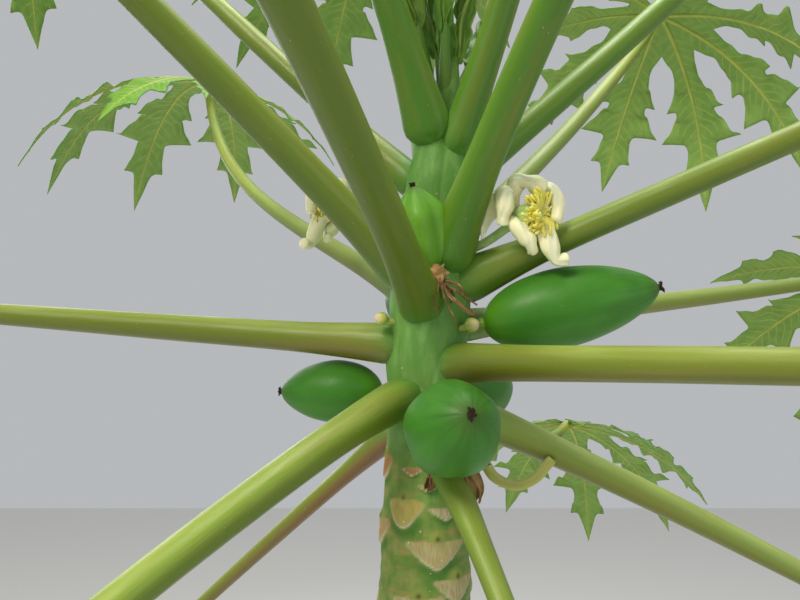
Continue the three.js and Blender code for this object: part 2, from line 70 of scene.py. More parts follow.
@dataclass
class Shape:
    """A surface in the making.

    Attributes:
        corners: places of the corners, in millimetres.
        faces: groups of faces with the same number of corners.
        finishes: number of the finish of each group.
        values: named numbers or vectors, one for each corner, that the finishes read.
    """

    corners: Array
    faces: list[Array]
    finishes: list[int]
    values: dict[str, Array] = field(default_factory=dict)

    def painted(self, finish: int) -> "Shape":
        """Returns the shape with every face in one finish."""
        return Shape(self.corners, self.faces, [finish] * len(self.faces), self.values)

    def placed(self, turn: Array, centre: Array) -> "Shape":
        """Returns the shape turned by a 3 x 3 matrix and then moved to a centre."""
        return Shape(self.corners @ turn.T + centre, self.faces, self.finishes, self.values)

    def valued(self, values: dict[str, Array]) -> "Shape":
        """Returns a tube with more values, given ring by ring; a pole takes that of the corner next to it."""
        more = {name: np.concatenate([value, value[[0, -1]]]) for name, value in values.items()}
        return Shape(self.corners, self.faces, self.finishes, {**self.values, **more})


def join(shapes: list[Shape]) -> Shape:
    """Returns shapes put together as one; values that a shape lacks are nought there."""
    starts = np.cumsum([0] + [len(shape.corners) for shape in shapes])
    faces = [group + start for shape, start in zip(shapes, starts) for group in shape.faces]
    finishes = [finish for shape in shapes for finish in shape.finishes]
    widths = {name: value.shape[1:] for shape in shapes for name, value in shape.values.items()}
    values = {}
    for name, width in widths.items():
        parts = [shape.values.get(name, np.zeros((len(shape.corners), *width))) for shape in shapes]
        values[name] = np.concatenate(parts)
    return Shape(np.concatenate([shape.corners for shape in shapes]), faces, finishes, values)


def unit(vectors: Array) -> Array:
    """Returns vectors at length one."""
    return vectors / np.linalg.norm(vectors, axis=-1, keepdims=True)


def heading(azimuth: float, rise: float) -> Array:
    """Returns the unit vector of an azimuth and a rise."""
    a, r = math.radians(azimuth), math.radians(rise)
    return np.array([math.cos(a) * math.cos(r), math.sin(a) * math.cos(r), math.sin(r)])


def facing(azimuth: float, rise: float) -> Array:
    """Returns the matrix that turns +X to an azimuth and a rise, with +Z kept uppermost."""
    return np.array(Euler((0, -math.radians(rise), math.radians(azimuth))).to_matrix())


def along_x(reach: Array) -> Array:
    """Returns places on the X axis."""
    return np.stack([reach, 0 * reach, 0 * reach], axis=1)


def grid_faces(rows: int, columns: int) -> Array:
    """Returns the quads of a grid of corners, numbered row by row."""
    row, column = np.meshgrid(np.arange(rows - 1), np.arange(columns - 1), indexing="ij")
    first = (row * columns + column).ravel()
    return np.stack([first, first + columns, first + columns + 1, first + 1], axis=1)


def tube_faces(rings: int, sides: int) -> list[Array]:
    """Returns a tube's faces: quads between its rings, then triangles to the poles numbered after them."""
    ring = np.arange(sides)
    after = (ring + 1) % sides
    starts = (np.arange(rings - 1) * sides)[:, None]
    here, beyond = (starts + ring).ravel(), (starts + after).ravel()
    wall = np.stack([here, here + sides, beyond + sides, beyond], axis=1)
    last, pole = (rings - 1) * sides, np.full(sides, rings * sides)
    first_cap = np.stack([pole, ring, after], axis=1)
    last_cap = np.stack([pole + 1, last + after, last + ring], axis=1)
    return [wall, np.concatenate([first_cap, last_cap])]


def smooth_step(low: float, high: float, value: Array) -> Array:
    """Returns a soft step from 0 at low to 1 at high."""
    share = np.clip((value - low) / (high - low), 0, 1)
    return share * share * (3 - 2 * share)


def hump(off: Array, width: float) -> Array:
    """Returns a soft hump, 1 at nought and falling away over a width."""
    return np.exp(-((off / width) ** 2))


def turns(sides: int) -> Array:
    """Returns the turn of each corner in a ring."""
    return np.arange(sides) * 2 * math.pi / sides


def wrapped(angle: Array, whole: float) -> Array:
    """Returns angles brought to within half a whole turn of nought."""
    return (angle + whole / 2) % whole - whole / 2


def eased(count: int, gap: float) -> Array:
    """Returns shares between 0 and 1, closer together at both ends and a gap away from them."""
    return (1 - np.cos(math.pi * np.linspace(gap, 1 - gap, count))) / 2


def lengths(path: Array) -> Array:
    """Returns the length of a line up to each of its places."""
    return np.concatenate([[0], np.cumsum(np.linalg.norm(np.diff(path, axis=0), axis=1))])


def through(points: Array, count: int) -> Array:
    """Draws one smooth curve through points.

    Args:
        points: places that the curve goes through.
        count: number of places wanted on it.

    Returns:
        The places, evenly spread between the points.
    """
    padded = np.concatenate([[2 * points[0] - points[1]], points, [2 * points[-1] - points[-2]]])
    share = np.linspace(0, len(points) - 1 - 1e-9, count)
    first = share.astype(int)
    t = (share - first)[:, None]
    a, b, c, d = (padded[first + k] for k in range(4))
    return 0.5 * (2 * b + (c - a) * t + (2 * a - 5 * b + 4 * c - d) * t**2 + (3 * b - a - 3 * c + d) * t**3)


def from_photo(knots: Knots, count: int) -> Array:
    """Returns a smooth line through knots given as the photo shows them: across, up and forward."""
    return through(np.array(knots, dtype=float), count)[:, [0, 2, 1]] * [1, -1, 1]


def ribbon(line: Array, across: Array, reach: Array, up: Array, rise: Array) -> Array:
    """Spreads a line out into a sheet.

    Args:
        line: places along the middle.
        across: direction of the sheet's width, one for all rows or one for each.
        reach: how far across each place lies.
        up: direction of the sheet's folds, one for all rows or one for each.
        rise: how far up each place lies.

    Returns:
        The sheet, rows by columns of places.
    """
    across, up = np.broadcast_to(across, line.shape), np.broadcast_to(up, line.shape)
    return line[:, None] + across[:, None] * reach[..., None] + up[:, None] * rise[..., None]


def sweep(
    path: Array,
    across: Array,
    half_width: Array,
    half_height: Array,
    sides: int,
    outline: Array | None = None,
) -> Shape:
    """Sweeps elliptical rings along a path and closes both ends.

    Args:
        path: middle of each ring.
        across: direction of the width, one for all rings or one for each.
        half_width: half the width of each ring.
        half_height: half the height of each ring.
        sides: number of corners in a ring.
        outline: factor on each corner's distance from the middle, ring by ring.

    Returns:
        The closed shape, with its unrolled place in the value named limb: across, up, and along the path.
    """
    along = unit(np.gradient(path, axis=0))
    side = unit(across - along * np.sum(across * along, axis=-1, keepdims=True))
    up = np.cross(along, side)
    turn = turns(sides)
    factor = np.ones((len(path), sides)) if outline is None else outline
    x = np.cos(turn) * half_width[:, None] * factor
    y = np.sin(turn) * half_height[:, None] * factor
    gone = lengths(path)
    limb = np.stack([x, y, np.repeat(gone[:, None], sides, axis=1)], axis=-1)
    corners = np.concatenate([ribbon(path, side, x, up, y).reshape(-1, 3), path[:1], path[-1:]])
    ends = np.array([[0, 0, gone[0]], [0, 0, gone[-1]]])
    values = {"limb": np.concatenate([limb.reshape(-1, 3), ends])}
    return Shape(corners, tube_faces(len(path), sides), [0, 0], values)


def thickened(sheet: Array, thickness: Array, values: dict[str, Array]) -> Shape:
    """Gives a grid of places a thickness and closes it all round.

    Args:
        sheet: rows by columns of places.
        thickness: thickness at each place.
        values: named numbers or vectors at each place.

    Returns:
        The closed shape; its first group of faces is the sheet's own side and its second the far side.
    """
    rows, columns = sheet.shape[:2]
    down = np.gradient(sheet, axis=0)
    right = np.gradient(sheet, axis=1)
    normal = unit(np.cross(down, right) + 1e-9)
    far = sheet - normal * thickness[..., None]
    count = rows * columns
    number = np.arange(count).reshape(rows, columns)
    edge = np.concatenate([number[0, :-1], number[:-1, -1], number[-1, :0:-1], number[:0:-1, 0]])
    following = np.roll(edge, -1)
    near = grid_faces(rows, columns)
    rim = np.stack([edge, following, following + count, edge + count], axis=1)
    doubled = {name: np.tile(value.reshape(count, -1), (2, 1)) for name, value in values.items()}
    doubled = {name: value[:, 0] if value.shape[1] == 1 else value for name, value in doubled.items()}
    corners = np.concatenate([sheet.reshape(-1, 3), far.reshape(-1, 3)])
    return Shape(corners, [near, near[:, ::-1] + count, rim], [0, 0, 0], doubled)


def mesh_of(name: str, shape: Shape) -> bpy.types.Mesh:
    """Writes a shape as a mesh in metres, with every shell's faces turned outwards.

    Args:
        name: the mesh's name.
        shape: the shape.

    Returns:
        The mesh.
    """
    mesh = bpy.data.meshes.new(name)
    mesh.vertices.add(len(shape.corners))
    mesh.vertices.foreach_set("co", (shape.corners * MM).astype(np.float32).ravel())
    counts = np.concatenate([np.full(len(group), group.shape[1]) for group in shape.faces])
    loops = np.concatenate([group.ravel() for group in shape.faces])
    mesh.loops.add(len(loops))
    mesh.loops.foreach_set("vertex_index", loops.astype(np.int32))
    mesh.polygons.add(len(counts))
    mesh.polygons.foreach_set("loop_start", (np.cumsum(counts) - counts).astype(np.int32))
    finishes = [np.full(len(group), kind) for group, kind in zip(shape.faces, shape.finishes)]
    mesh.polygons.foreach_set("material_index", np.concatenate(finishes).astype(np.int32))
    mesh.polygons.foreach_set("use_smooth", np.ones(len(counts), dtype=bool))
    mesh.update(calc_edges=True)
    for key, value in shape.values.items():
        scale = MM if key == "limb" else 1
        kind, slot = ("FLOAT_VECTOR", "vector") if value.ndim == 2 else ("FLOAT", "value")
        layer = mesh.attributes.new(key, kind, "POINT")
        layer.data.foreach_set(slot, (value * scale).astype(np.float32).ravel())
    shells = bmesh.new()
    shells.from_mesh(mesh)
    bmesh.ops.recalc_face_normals(shells, faces=shells.faces)
    shells.to_mesh(mesh)
    shells.free()
    return mesh


def add_piece(name: str, shape: Shape, materials: list[bpy.types.Material], node: str) -> None:
    """Adds a finished piece to the scene.

    Args:
        name: name of the piece.
        shape: its surface.
        materials: its finishes, by their numbers.
        node: the CAD node that it stands for.
    """
    mesh = mesh_of(name, shape)
    for material in materials:
        mesh.materials.append(material)
    piece = bpy.data.objects.new(name, mesh)
    bpy.context.scene.collection.objects.link(piece)
    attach(piece, BODY)
    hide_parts(node)
    triangles = sum(len(group) * (group.shape[1] - 2) for group in shape.faces)
    LOG.info("%s: %d triangles", name, triangles)


# Geometry Nodes


class GrowthTree:
    """A Geometry Nodes tree with named inputs, whose instances are realized and given a finish at its end."""

    def __init__(self, name: str, inputs: dict[str, str]) -> None:
        """Starts the tree.

        Args:
            name: its name.
            inputs: kind of socket of each named input; one is the finish.
        """
        self.tree = bpy.data.node_groups.new(name, "GeometryNodeTree")
        face = self.tree.interface
        face.new_socket("Geometry", in_out="INPUT", socket_type="NodeSocketGeometry")
        self.inputs = {
            key: face.new_socket(key, in_out="INPUT", socket_type=kind).identifier
            for key, kind in inputs.items()
        }
        face.new_socket("Geometry", in_out="OUTPUT", socket_type="NodeSocketGeometry")
        self.given = self.tree.nodes.new("NodeGroupInput").outputs

    def end(self, geometry: bpy.types.NodeSocket) -> None:
        """Ends the tree: realizes the instances and sets the finish."""
        whole = add(self.tree, "GeometryNodeRealizeInstances", {"Geometry": geometry})
        dress = {"Geometry": whole.outputs["Geometry"], "Material": self.given["Finish"]}
        dressed = add(self.tree, "GeometryNodeSetMaterial", dress)
        add(self.tree, "NodeGroupOutput", {"Geometry": dressed.outputs["Geometry"]})

    def grown(self, name: str, ground: bpy.types.Mesh, settings: dict[str, object]) -> bpy.types.Object:
        """Grows the tree's geometry on a mesh.

        Args:
            name: name of the object.
            ground: the mesh that it grows on.
            settings: value of each named input.

        Returns:
            The object, with the grown geometry as its plain mesh.
        """
        holder = bpy.data.objects.new(name, ground)
        bpy.context.scene.collection.objects.link(holder)
        modifier = holder.modifiers.new(name, "NODES")
        modifier.node_group = self.tree
        for key, value in settings.items():
            modifier[self.inputs[key]] = value
        graph = bpy.context.evaluated_depsgraph_get()
        made = bpy.data.meshes.new_from_object(holder.evaluated_get(graph))
        holder.modifiers.clear()
        holder.data = made
        return holder


class TubeTree(GrowthTree):
    """Tapering tubes along lines of edges, for ribs, veins and stigma threads."""

    def __init__(self) -> None:
        """Builds the tree."""
        super().__init__("tapering_tubes", {"Sides": "NodeSocketInt", "Finish": "NodeSocketMaterial"})
        curve = add(self.tree, "GeometryNodeMeshToCurve", {"Mesh": self.given["Geometry"]})
        radius = add(self.tree, "GeometryNodeInputNamedAttribute", {"Name": "thickness"})
        circle = {"Resolution": self.given["Sides"], "Radius": 1.0}
        ring = add(self.tree, "GeometryNodeCurvePrimitiveCircle", circle)
        swept = {
            "Curve": curve.outputs["Curve"],
            "Profile Curve": ring.outputs["Curve"],
            "Scale": radius.outputs["Attribute"],
            "Fill Caps": True,
        }
        self.end(add(self.tree, "GeometryNodeCurveToMesh", swept).outputs["Mesh"])

    def along(self, lines: list[Array], radii: list[Array], sides: int) -> Shape:
        """Makes tubes along lines.

        Args:
            lines: places along each line.
            radii: radius of the tube at each place.
            sides: number of sides of a tube.

        Returns:
            The tubes as one shape.
        """
        mesh = bpy.data.meshes.new("lines")
        starts = np.cumsum([0] + [len(line) for line in lines])
        pairs = [
            np.stack([np.arange(first, end - 1), np.arange(first + 1, end)], axis=1)
            for first, end in zip(starts, starts[1:])
        ]
        mesh.from_pydata(np.concatenate(lines).tolist(), np.concatenate(pairs).tolist(), [])
        thickness = mesh.attributes.new("thickness", "FLOAT", "POINT")
        thickness.data.foreach_set("value", np.concatenate(radii).astype(np.float32))
        holder = self.grown("lines", mesh, {"Sides": sides})
        made = holder.data
        corners = np.empty(len(made.vertices) * 3, dtype=np.float32)
        made.vertices.foreach_get("co", corners)
        by_count: dict[int, list[list[int]]] = {}
        for polygon in made.polygons:
            by_count.setdefault(polygon.loop_total, []).append(list(polygon.vertices))
        bpy.data.objects.remove(holder)
        bpy.data.meshes.remove(made)
        faces = [np.array(group) for group in by_count.values()]
        return Shape(corners.reshape(-1, 3).astype(float), faces, [0] * len(faces))


class DropTree(GrowthTree):
    """Small flattened drops of dried sap strewn over a surface."""

    flatness = 0.35
    smallest = 0.4
    largest = 1.2

    def __init__(self) -> None:
        """Builds the tree."""
        kinds = {"Density": "NodeSocketFloat", "Radius": "NodeSocketFloat", "Seed": "NodeSocketInt"}
        super().__init__("strewn_specks", {**kinds, "Finish": "NodeSocketMaterial"})
        spread = {
            "Mesh": self.given["Geometry"],
            "Density": self.given["Density"],
            "Seed": self.given["Seed"],
        }
        strewn = add(self.tree, "GeometryNodeDistributePointsOnFaces", spread)
        sphere = {"Radius": self.given["Radius"], "Subdivisions": 1}
        ball = add(self.tree, "GeometryNodeMeshIcoSphere", sphere)
        pressed = {"Geometry": ball.outputs["Mesh"], "Scale": (1.0, 1.0, self.flatness)}
        flat = add(self.tree, "GeometryNodeTransform", pressed)
        sizes = {2: self.smallest, 3: self.largest, "Seed": self.given["Seed"]}
        size = add(self.tree, "FunctionNodeRandomValue", sizes)
        laid = {
            "Points": strewn.outputs["Points"],
            "Instance": flat.outputs["Geometry"],
            "Rotation": strewn.outputs["Rotation"],
            "Scale": size.outputs[1],
        }
        self.end(add(self.tree, "GeometryNodeInstanceOnPoints", laid).outputs["Instances"])


# Finishes


def add(
    tree: bpy.types.NodeTree, kind: str, inputs: dict | None = None, **settings: object
) -> bpy.types.Node:
    """Adds a node with its settings and links.

    Args:
        tree: tree that the node goes into.
        kind: the node's type.
        inputs: a value or another node's output for each input, by its name or number.
        settings: the node's own settings.

    Returns:
        The node.
    """
    made = tree.nodes.new(kind)
    for name, value in settings.items():
        setattr(made, name, value)
    for key, value in (inputs or {}).items():
        if isinstance(value, bpy.types.NodeSocket):
            tree.links.new(value, made.inputs[key])
        else:
            made.inputs[key].default_value = value
    return made


def noise(
    tree: bpy.types.NodeTree, place: bpy.types.NodeSocket, grain: Triple, detail: float
) -> bpy.types.NodeSocket:
    """Adds a noise pattern.

    Args:
        tree: tree that its nodes go into.
        place: where the pattern is looked up.
        grain: size of its grains across, up and along, in millimetres.
        detail: number of its finer octaves.

    Returns:
        The strength of the pattern.
    """
    scale = tuple(1 / (size * MM) for size in grain)
    spread = add(tree, "ShaderNodeMapping", {"Vector": place, "Scale": scale}).outputs[0]
    pattern = add(tree, "ShaderNodeTexNoise", {"Vector": spread, "Scale": 1.0, "Detail": detail})
    return pattern.outputs["Fac"]


def ranged(
    tree: bpy.types.NodeTree,
    strength: bpy.types.NodeSocket,
    given: tuple[float, float],
    wanted: tuple[float, float],
) -> bpy.types.NodeSocket:
    """Returns a strength stretched from a given range to a wanted one, and held within it."""
    stretch = {0: strength, 1: given[0], 2: given[1], 3: wanted[0], 4: wanted[1]}
    return add(tree, "ShaderNodeMapRange", stretch).outputs[0]


def linear(code: str) -> tuple[float, float, float, float]:
    """Turns an sRGB hex colour such as #8f9070 into linear red, green, blue and full cover."""
    parts = [int(code[k : k + 2], 16) / 255 for k in (1, 3, 5)]
    red, green, blue = (p / 12.92 if p <= 0.04045 else ((p + 0.055) / 1.055) ** 2.4 for p in parts)
    return red, green, blue, 1.0


@dataclass(frozen=True)
class Layer:
    """A colour laid over what is below it.

    Attributes:
        colour: sRGB hex colour.
        value: name of the value that says how much of it shows; without one its pattern alone does.
        grain: size of the pattern's patches across, up and along, in millimetres, or none for an even layer.
        low: pattern strength at which it starts to show.
        high: pattern strength at which it shows fully.
        cover: share that shows at the most.
    """

    colour: str
    value: str = ""
    grain: Triple | None = None
    low: float = 0.4
    high: float = 0.6
    cover: float = 1.0


@dataclass(frozen=True)
class Skin:
    """A plant skin: a ground colour under layers, with a fine relief.

    Attributes:
        name: name of the finish.
        colour: sRGB hex colour of the ground.
        layers: colours over it, from the lowest up.
        roughness: roughness of the surface.
        relief: size of the relief's grains across, up and along, in millimetres.
        depth: height of the relief in millimetres.
        unrolled: whether patterns follow the value limb, along the piece, or the object's own place.
        glow: share of light that passes through thin flesh.
        glow_reach: how far that light travels, in millimetres.
        coat: strength of a waxy coat.
        sheen: strength of a soft bloom at the edges.
    """

    name: str
    colour: str
    layers: tuple[Layer, ...]
    roughness: float
    relief: Triple = (1.2, 1.2, 1.2)
    depth: float = 0.15
    unrolled: bool = True
    glow: float = 0.0
    glow_reach: float = 2.0
    coat: float = 0.0
    sheen: float = 0.0

    def make(self) -> bpy.types.Material:
        """Returns the finish as a material."""
        material = bpy.data.materials.new(self.name)
        material.use_nodes = True
        tree = material.node_tree
        tree.nodes.clear()
        if self.unrolled:
            place = add(tree, "ShaderNodeAttribute", attribute_name="limb").outputs["Vector"]
        else:
            place = add(tree, "ShaderNodeTexCoord").outputs["Object"]
        colour: bpy.types.NodeSocket | tuple[float, ...] = linear(self.colour)
        for layer in self.layers:
            share: bpy.types.NodeSocket | float = layer.cover
            if layer.grain:
                patches = noise(tree, place, layer.grain, 3.0)
                share = ranged(tree, patches, (layer.low, layer.high), (0.0, layer.cover))
            if layer.value:
                amount = add(tree, "ShaderNodeAttribute", attribute_name=layer.value).outputs["Fac"]
                share = add(tree, "ShaderNodeMath", {0: amount, 1: share}, operation="MULTIPLY").outputs[0]
            paint = {0: share, 6: colour, 7: linear(layer.colour)}
            colour = add(tree, "ShaderNodeMix", paint, data_type="RGBA").outputs[2]
        grain = noise(tree, place, self.relief, 4.0)
        bump = add(tree, "ShaderNodeBump", {"Height": grain, "Distance": self.depth * MM})
        look = {
            "Base Color": colour,
            "Roughness": ranged(tree, grain, (0.3, 0.7), (self.roughness - 0.06, self.roughness + 0.08)),
            "Normal": bump.outputs[0],
            "Subsurface Weight": self.glow,
            "Subsurface Radius": (0.6, 1.0, 0.25),
            "Subsurface Scale": self.glow_reach * MM,
            "Coat Weight": self.coat,
            "Coat Roughness": 0.35,
            "Sheen Weight": self.sheen,
            "Sheen Roughness": 0.5,
            "IOR": 1.42,
        }
        surface = add(tree, "ShaderNodeBsdfPrincipled", look)
        add(tree, "ShaderNodeOutputMaterial", {"Surface": surface.outputs[0]})
        return material


# Trunk


@dataclass(frozen=True)
class Spiral:
    """The spiral of the leaves and of the fallen ones below them, numbered from the lowest live leaf up."""

    first_azimuth: float = -80.0
    golden_angle: float = 137.5
    first_height: float = 1312.0
    climb: float = 17.5
    crowding: float = 0.12

    def azimuth(self, index: int) -> float:
        """Returns the azimuth of a leaf's place."""
        return self.first_azimuth - self.golden_angle * index

    def height(self, index: int) -> float:
        """Returns the height of a leaf's place, closer together towards the tip."""
        return self.first_height + self.climb * index - self.crowding * index**2


SPIRAL = Spiral()


@dataclass(frozen=True)
class Scar:
    """Mark of a fallen leaf: a rounded triangle that points down, with a raised rim and a bud above it.

    Attributes:
        azimuth: where it lies round the trunk.
        height: height of its middle.
        width: its width.
        tall: its height from rim to rim.
        age: 0 for a new tan mark, 1 for a grey one that has stretched.
        flush: share of rusty red in its colour.
    """

    azimuth: float
    height: float
    width: float
    tall: float
    age: float
    flush: float = 0.0

    def clear_of(self, azimuth: float, height: float) -> bool:
        """Returns whether another scar has room at an azimuth and height."""
        return abs(wrapped(azimuth - self.azimuth, 360)) > 48 or abs(height - self.height) > 26


@dataclass
class Bark:
    """The bark as a grid of rings.

    Attributes:
        z: height of each corner.
        a: its turn about the trunk's axis.
        radius: radius of the bare trunk there.
        relief: height of the bark over that radius.
        values: strength of each painted value.
    """

    z: Array
    a: Array
    radius: Array
    relief: Array
    values: dict[str, Array] = field(init=False)

    def __post_init__(self) -> None:
        """Starts every value at nought."""
        names = ("scar", "rim", "pit", "old", "shade", "bloom", "low", "axil", "bud_green", "flush")
        self.values = {name: np.zeros_like(self.z) for name in names}

    def beside(self, azimuth: float) -> Array:
        """Returns how far each corner is round the trunk from an azimuth."""
        return wrapped(self.a - math.radians(azimuth), 2 * math.pi) * self.radius

    def paint(self, name: str, strength: Array, rows: Array | slice = slice(None)) -> None:
        """Raises a value to a strength where it is below it.

        Args:
            name: the value's name.
            strength: the strength, in those rows.
            rows: the rows that it concerns.
        """
        self.values[name][rows] = np.maximum(self.values[name][rows], strength)


@dataclass
class Trunk:
    """The leaning, tapering trunk with its root flare, leaf scars and the waxy sheath of the crown."""

    tip: float = 1680.0
    crown_foot: float = 1200.0
    radius_low: float = 53.0
    radius_foot: float = 39.5
    tip_taper: float = 0.47
    tip_radius: float = 1.5
    flare: float = 17.0
    flare_height: float = 75.0
    flare_ribs: int = 5
    flare_rib_depth: float = 0.09
    flare_rib_turn: float = 0.6
    lean: float = 0.0245
    bend_start: float = 1450.0
    bend_span: float = 200.0
    bend: float = 12.0
    sides: int = 168
    crown_rows: int = 310
    low_rows: int = 220
    crown_view: float = 1180.0
    rim_height: float = 1.3
    bud_height: float = 2.8
    bare_scar: float = 14.0
    sheath_swell: float = 7.0
    sheath_run: float = 34.0
    fallen: int = 55
    lowest_scar: float = 30.0
    seed: int = 7

    def axis(self, height: Array) -> Array:
        """Returns the trunk's middle at each height."""
        height = np.asarray(height, dtype=float)
        past = np.maximum(0, (height - self.bend_start) / self.bend_span)
        return np.stack([self.lean * height + self.bend * past**2, 0 * height, height], axis=-1)

    def radius(self, height: Array) -> Array:
        """Returns the trunk's radius at each height, without ribs and scars."""
        height = np.asarray(height, dtype=float)
        up = np.clip((height - self.crown_foot) / (self.tip - self.crown_foot), 0, 1)
        above = self.radius_foot * (1 - up) ** self.tip_taper
        straight = self.radius_low + (self.radius_foot - self.radius_low) * height / self.crown_foot
        below = straight + self.flare * np.exp(-height / self.flare_height)
        return np.where(height > self.crown_foot, above, below)

    def at(self, azimuth: float, height: float, depth: float = 1.0) -> Array:
        """Returns the place on the trunk at an azimuth and height, at a share of its radius."""
        return heading(azimuth, 0) * self.radius(height) * depth + self.axis(height)

    def scars(self) -> list[Scar]:
        """Returns the leaf scars: those in view, and the spiral carried on down to the ground."""
        near = [
            Scar(-121, 1270, 40, 29, 0.0),
            Scar(-77, 1237, 56, 27, 0.45),
            Scar(-66, 1269, 30, 12, 0.8),
            Scar(-112, 1303, 20, 7, 0.5, 0.9),
            Scar(-90, 1290, 18, 6, 0.3, 0.4),
            Scar(-50, 1206, 44, 24, 0.6),
            Scar(-165, 1307, 26, 24, 0.1, 1.0),
            Scar(-168, 1252, 36, 26, 0.5, 0.5),
            Scar(-30, 1262, 36, 24, 0.4),
            Scar(-98, 1192, 46, 24, 0.7),
        ]
        marks = list(near)
        rng = np.random.default_rng(self.seed)
        for index in range(-1, -self.fallen - 1, -1):
            azimuth = SPIRAL.azimuth(index) + rng.uniform(-7, 7)
            height = SPIRAL.height(index) + rng.uniform(-4, 4)
            width, tall = rng.uniform(44, 58), rng.uniform(24, 31)
            if height < self.lowest_scar:
                break
            if all(mark.clear_of(azimuth, height) for mark in near):
                marks.append(Scar(azimuth, height, width, tall, min(1.0, 0.5 + (1300 - height) / 900)))
        return marks

    def shape(self, feet: list[tuple[float, float, float, float]]) -> Shape:
        """Builds the trunk's surface.

        Args:
            feet: azimuth, height, width and rise of each live leaf stalk, which swell the sheath below them.

        Returns:
            The closed surface, with the values scar, rim, pit, bloom, old, shade, low, axil, bud_green and
            flush.
        """
        low = np.linspace(0, self.crown_view, self.low_rows, endpoint=False)
        crown = self.tip - (self.tip - self.crown_view) * (1 - np.linspace(0, 1, self.crown_rows)) ** 1.1
        turn = np.linspace(0, 2 * math.pi, self.sides, endpoint=False)
        z, a = np.meshgrid(np.concatenate([low, crown]), turn, indexing="ij")
        radius = np.maximum(self.tip_radius, self.radius(z))
        lumps = 0.7 * np.sin(3 * a + z / 61) * np.sin(z / 37 + 1)
        lumps = lumps + 0.45 * np.sin(7 * a - z / 23) * np.sin(z / 19)
        rings = 0.45 * np.sin(z / 2.6 + 1.7 * np.sin(2 * a + z / 40)) * smooth_step(1330, 1100, z)
        bark = Bark(z, a, radius, (lumps + rings) * np.clip(radius / 25, 0, 1))
        bark.paint("bloom", smooth_step(1290, 1400, z + 14 * np.sin(5 * a + z / 30)))
        bark.paint("low", 1 - smooth_step(300, 1250, z))
        for mark in self.scars():
            self.press_scar(mark, bark)
        self.swell_sheath(feet, bark)
        corner = self.axis(z)
        reach = radius + bark.relief
        centre = np.where(z < self.bend_start, 0.0, 1.0) * corner[..., 0]
        corner[..., 0] += np.cos(a) * reach
        corner[..., 1] += np.sin(a) * reach
        ribs = np.cos(self.flare_ribs * a + self.flare_rib_turn)
        ribbed = 1 + self.flare_rib_depth * np.exp(-z / self.flare_height) * ribs
        corner[..., :2] += (corner[..., :2] - centre[..., None]) * (ribbed - 1)[..., None]
        unrolled = np.stack([np.cos(a) * radius, np.sin(a) * radius, z], axis=-1).reshape(-1, 3)
        ends = np.stack([self.axis(0.0), self.axis(self.tip)])
        flat = {name: np.concatenate([value.ravel(), [0, 0]]) for name, value in bark.values.items()}
        flat["limb"] = np.concatenate([unrolled, ends])
        return Shape(np.concatenate([corner.reshape(-1, 3), ends]), tube_faces(*z.shape), [0, 0], flat)

    def press_scar(self, mark: Scar, bark: Bark) -> None:
        """Presses a rounded three-cornered leaf scar into the bark, with its rim, its ledge and its bud.

        Args:
            mark: the scar.
            bark: the bark that it changes.
        """
        rows = np.abs(bark.z[:, 0] - mark.height) < 1.6 * mark.tall
        above = bark.z[rows] - mark.height
        u = bark.beside(mark.azimuth)[rows] / (mark.width / 2)
        v = above / (mark.tall / 2)
        jagged = 0.04 * np.sin(9 * np.arctan2(v, u) + mark.height) + 0.03 * np.sin(17 * np.arctan2(v, u))
        slants = (v, 0.866 * u - 0.5 * v, -0.866 * u - 0.5 * v)
        sharp = 2.5 + 3.2 * mark.age
        out = sum(np.maximum(0, slant / 0.64) ** sharp for slant in slants) ** (1 / sharp)
        bud = np.hypot(u * mark.width / 2, above - 0.38 * mark.tall)
        out = out * (1 + jagged * mark.age) + 0.2 * mark.age * hump(bud, 6.0)
        edge = hump(out - 1.0, 0.07) * np.clip(0.45 - 0.75 * v, 0, 1)
        inside = 1 - smooth_step(0.92, 1.0, out)
        ledge = inside * np.clip(0.5 - 0.5 * v, 0, 1.2)
        budded = 1.0 if mark.tall > self.bare_scar else 0.0
        bud = bud / (1 + 0.5 * mark.age)
        bark.relief[rows] += min(1.0, mark.tall / 20) * (
            2.2 * hump(out, 1.5)
            + 2.6 * ledge
            - 0.6 * inside
            + self.rim_height * (1 - 0.3 * mark.age) * edge
            + budded * self.bud_height * hump(bud, 5.0)
        )
        bark.paint("scar", inside * (1 - 0.25 * mark.age), rows)
        bark.paint("rim", edge, rows)
        bark.paint("pit", budded * hump(bud, 1.5), rows)
        bark.paint("old", inside * mark.age, rows)
        bark.paint("shade", hump(out - 1.35, 0.42) * (1 - inside) * np.clip(-0.3 - 1.3 * v, 0, 1), rows)
        bark.paint("bud_green", budded * np.exp(-((bud / 5.6) ** 4)) * (1 - 0.4 * inside), rows)
        bark.paint("flush", np.exp(-((out / 1.1) ** 4)) * mark.flush, rows)

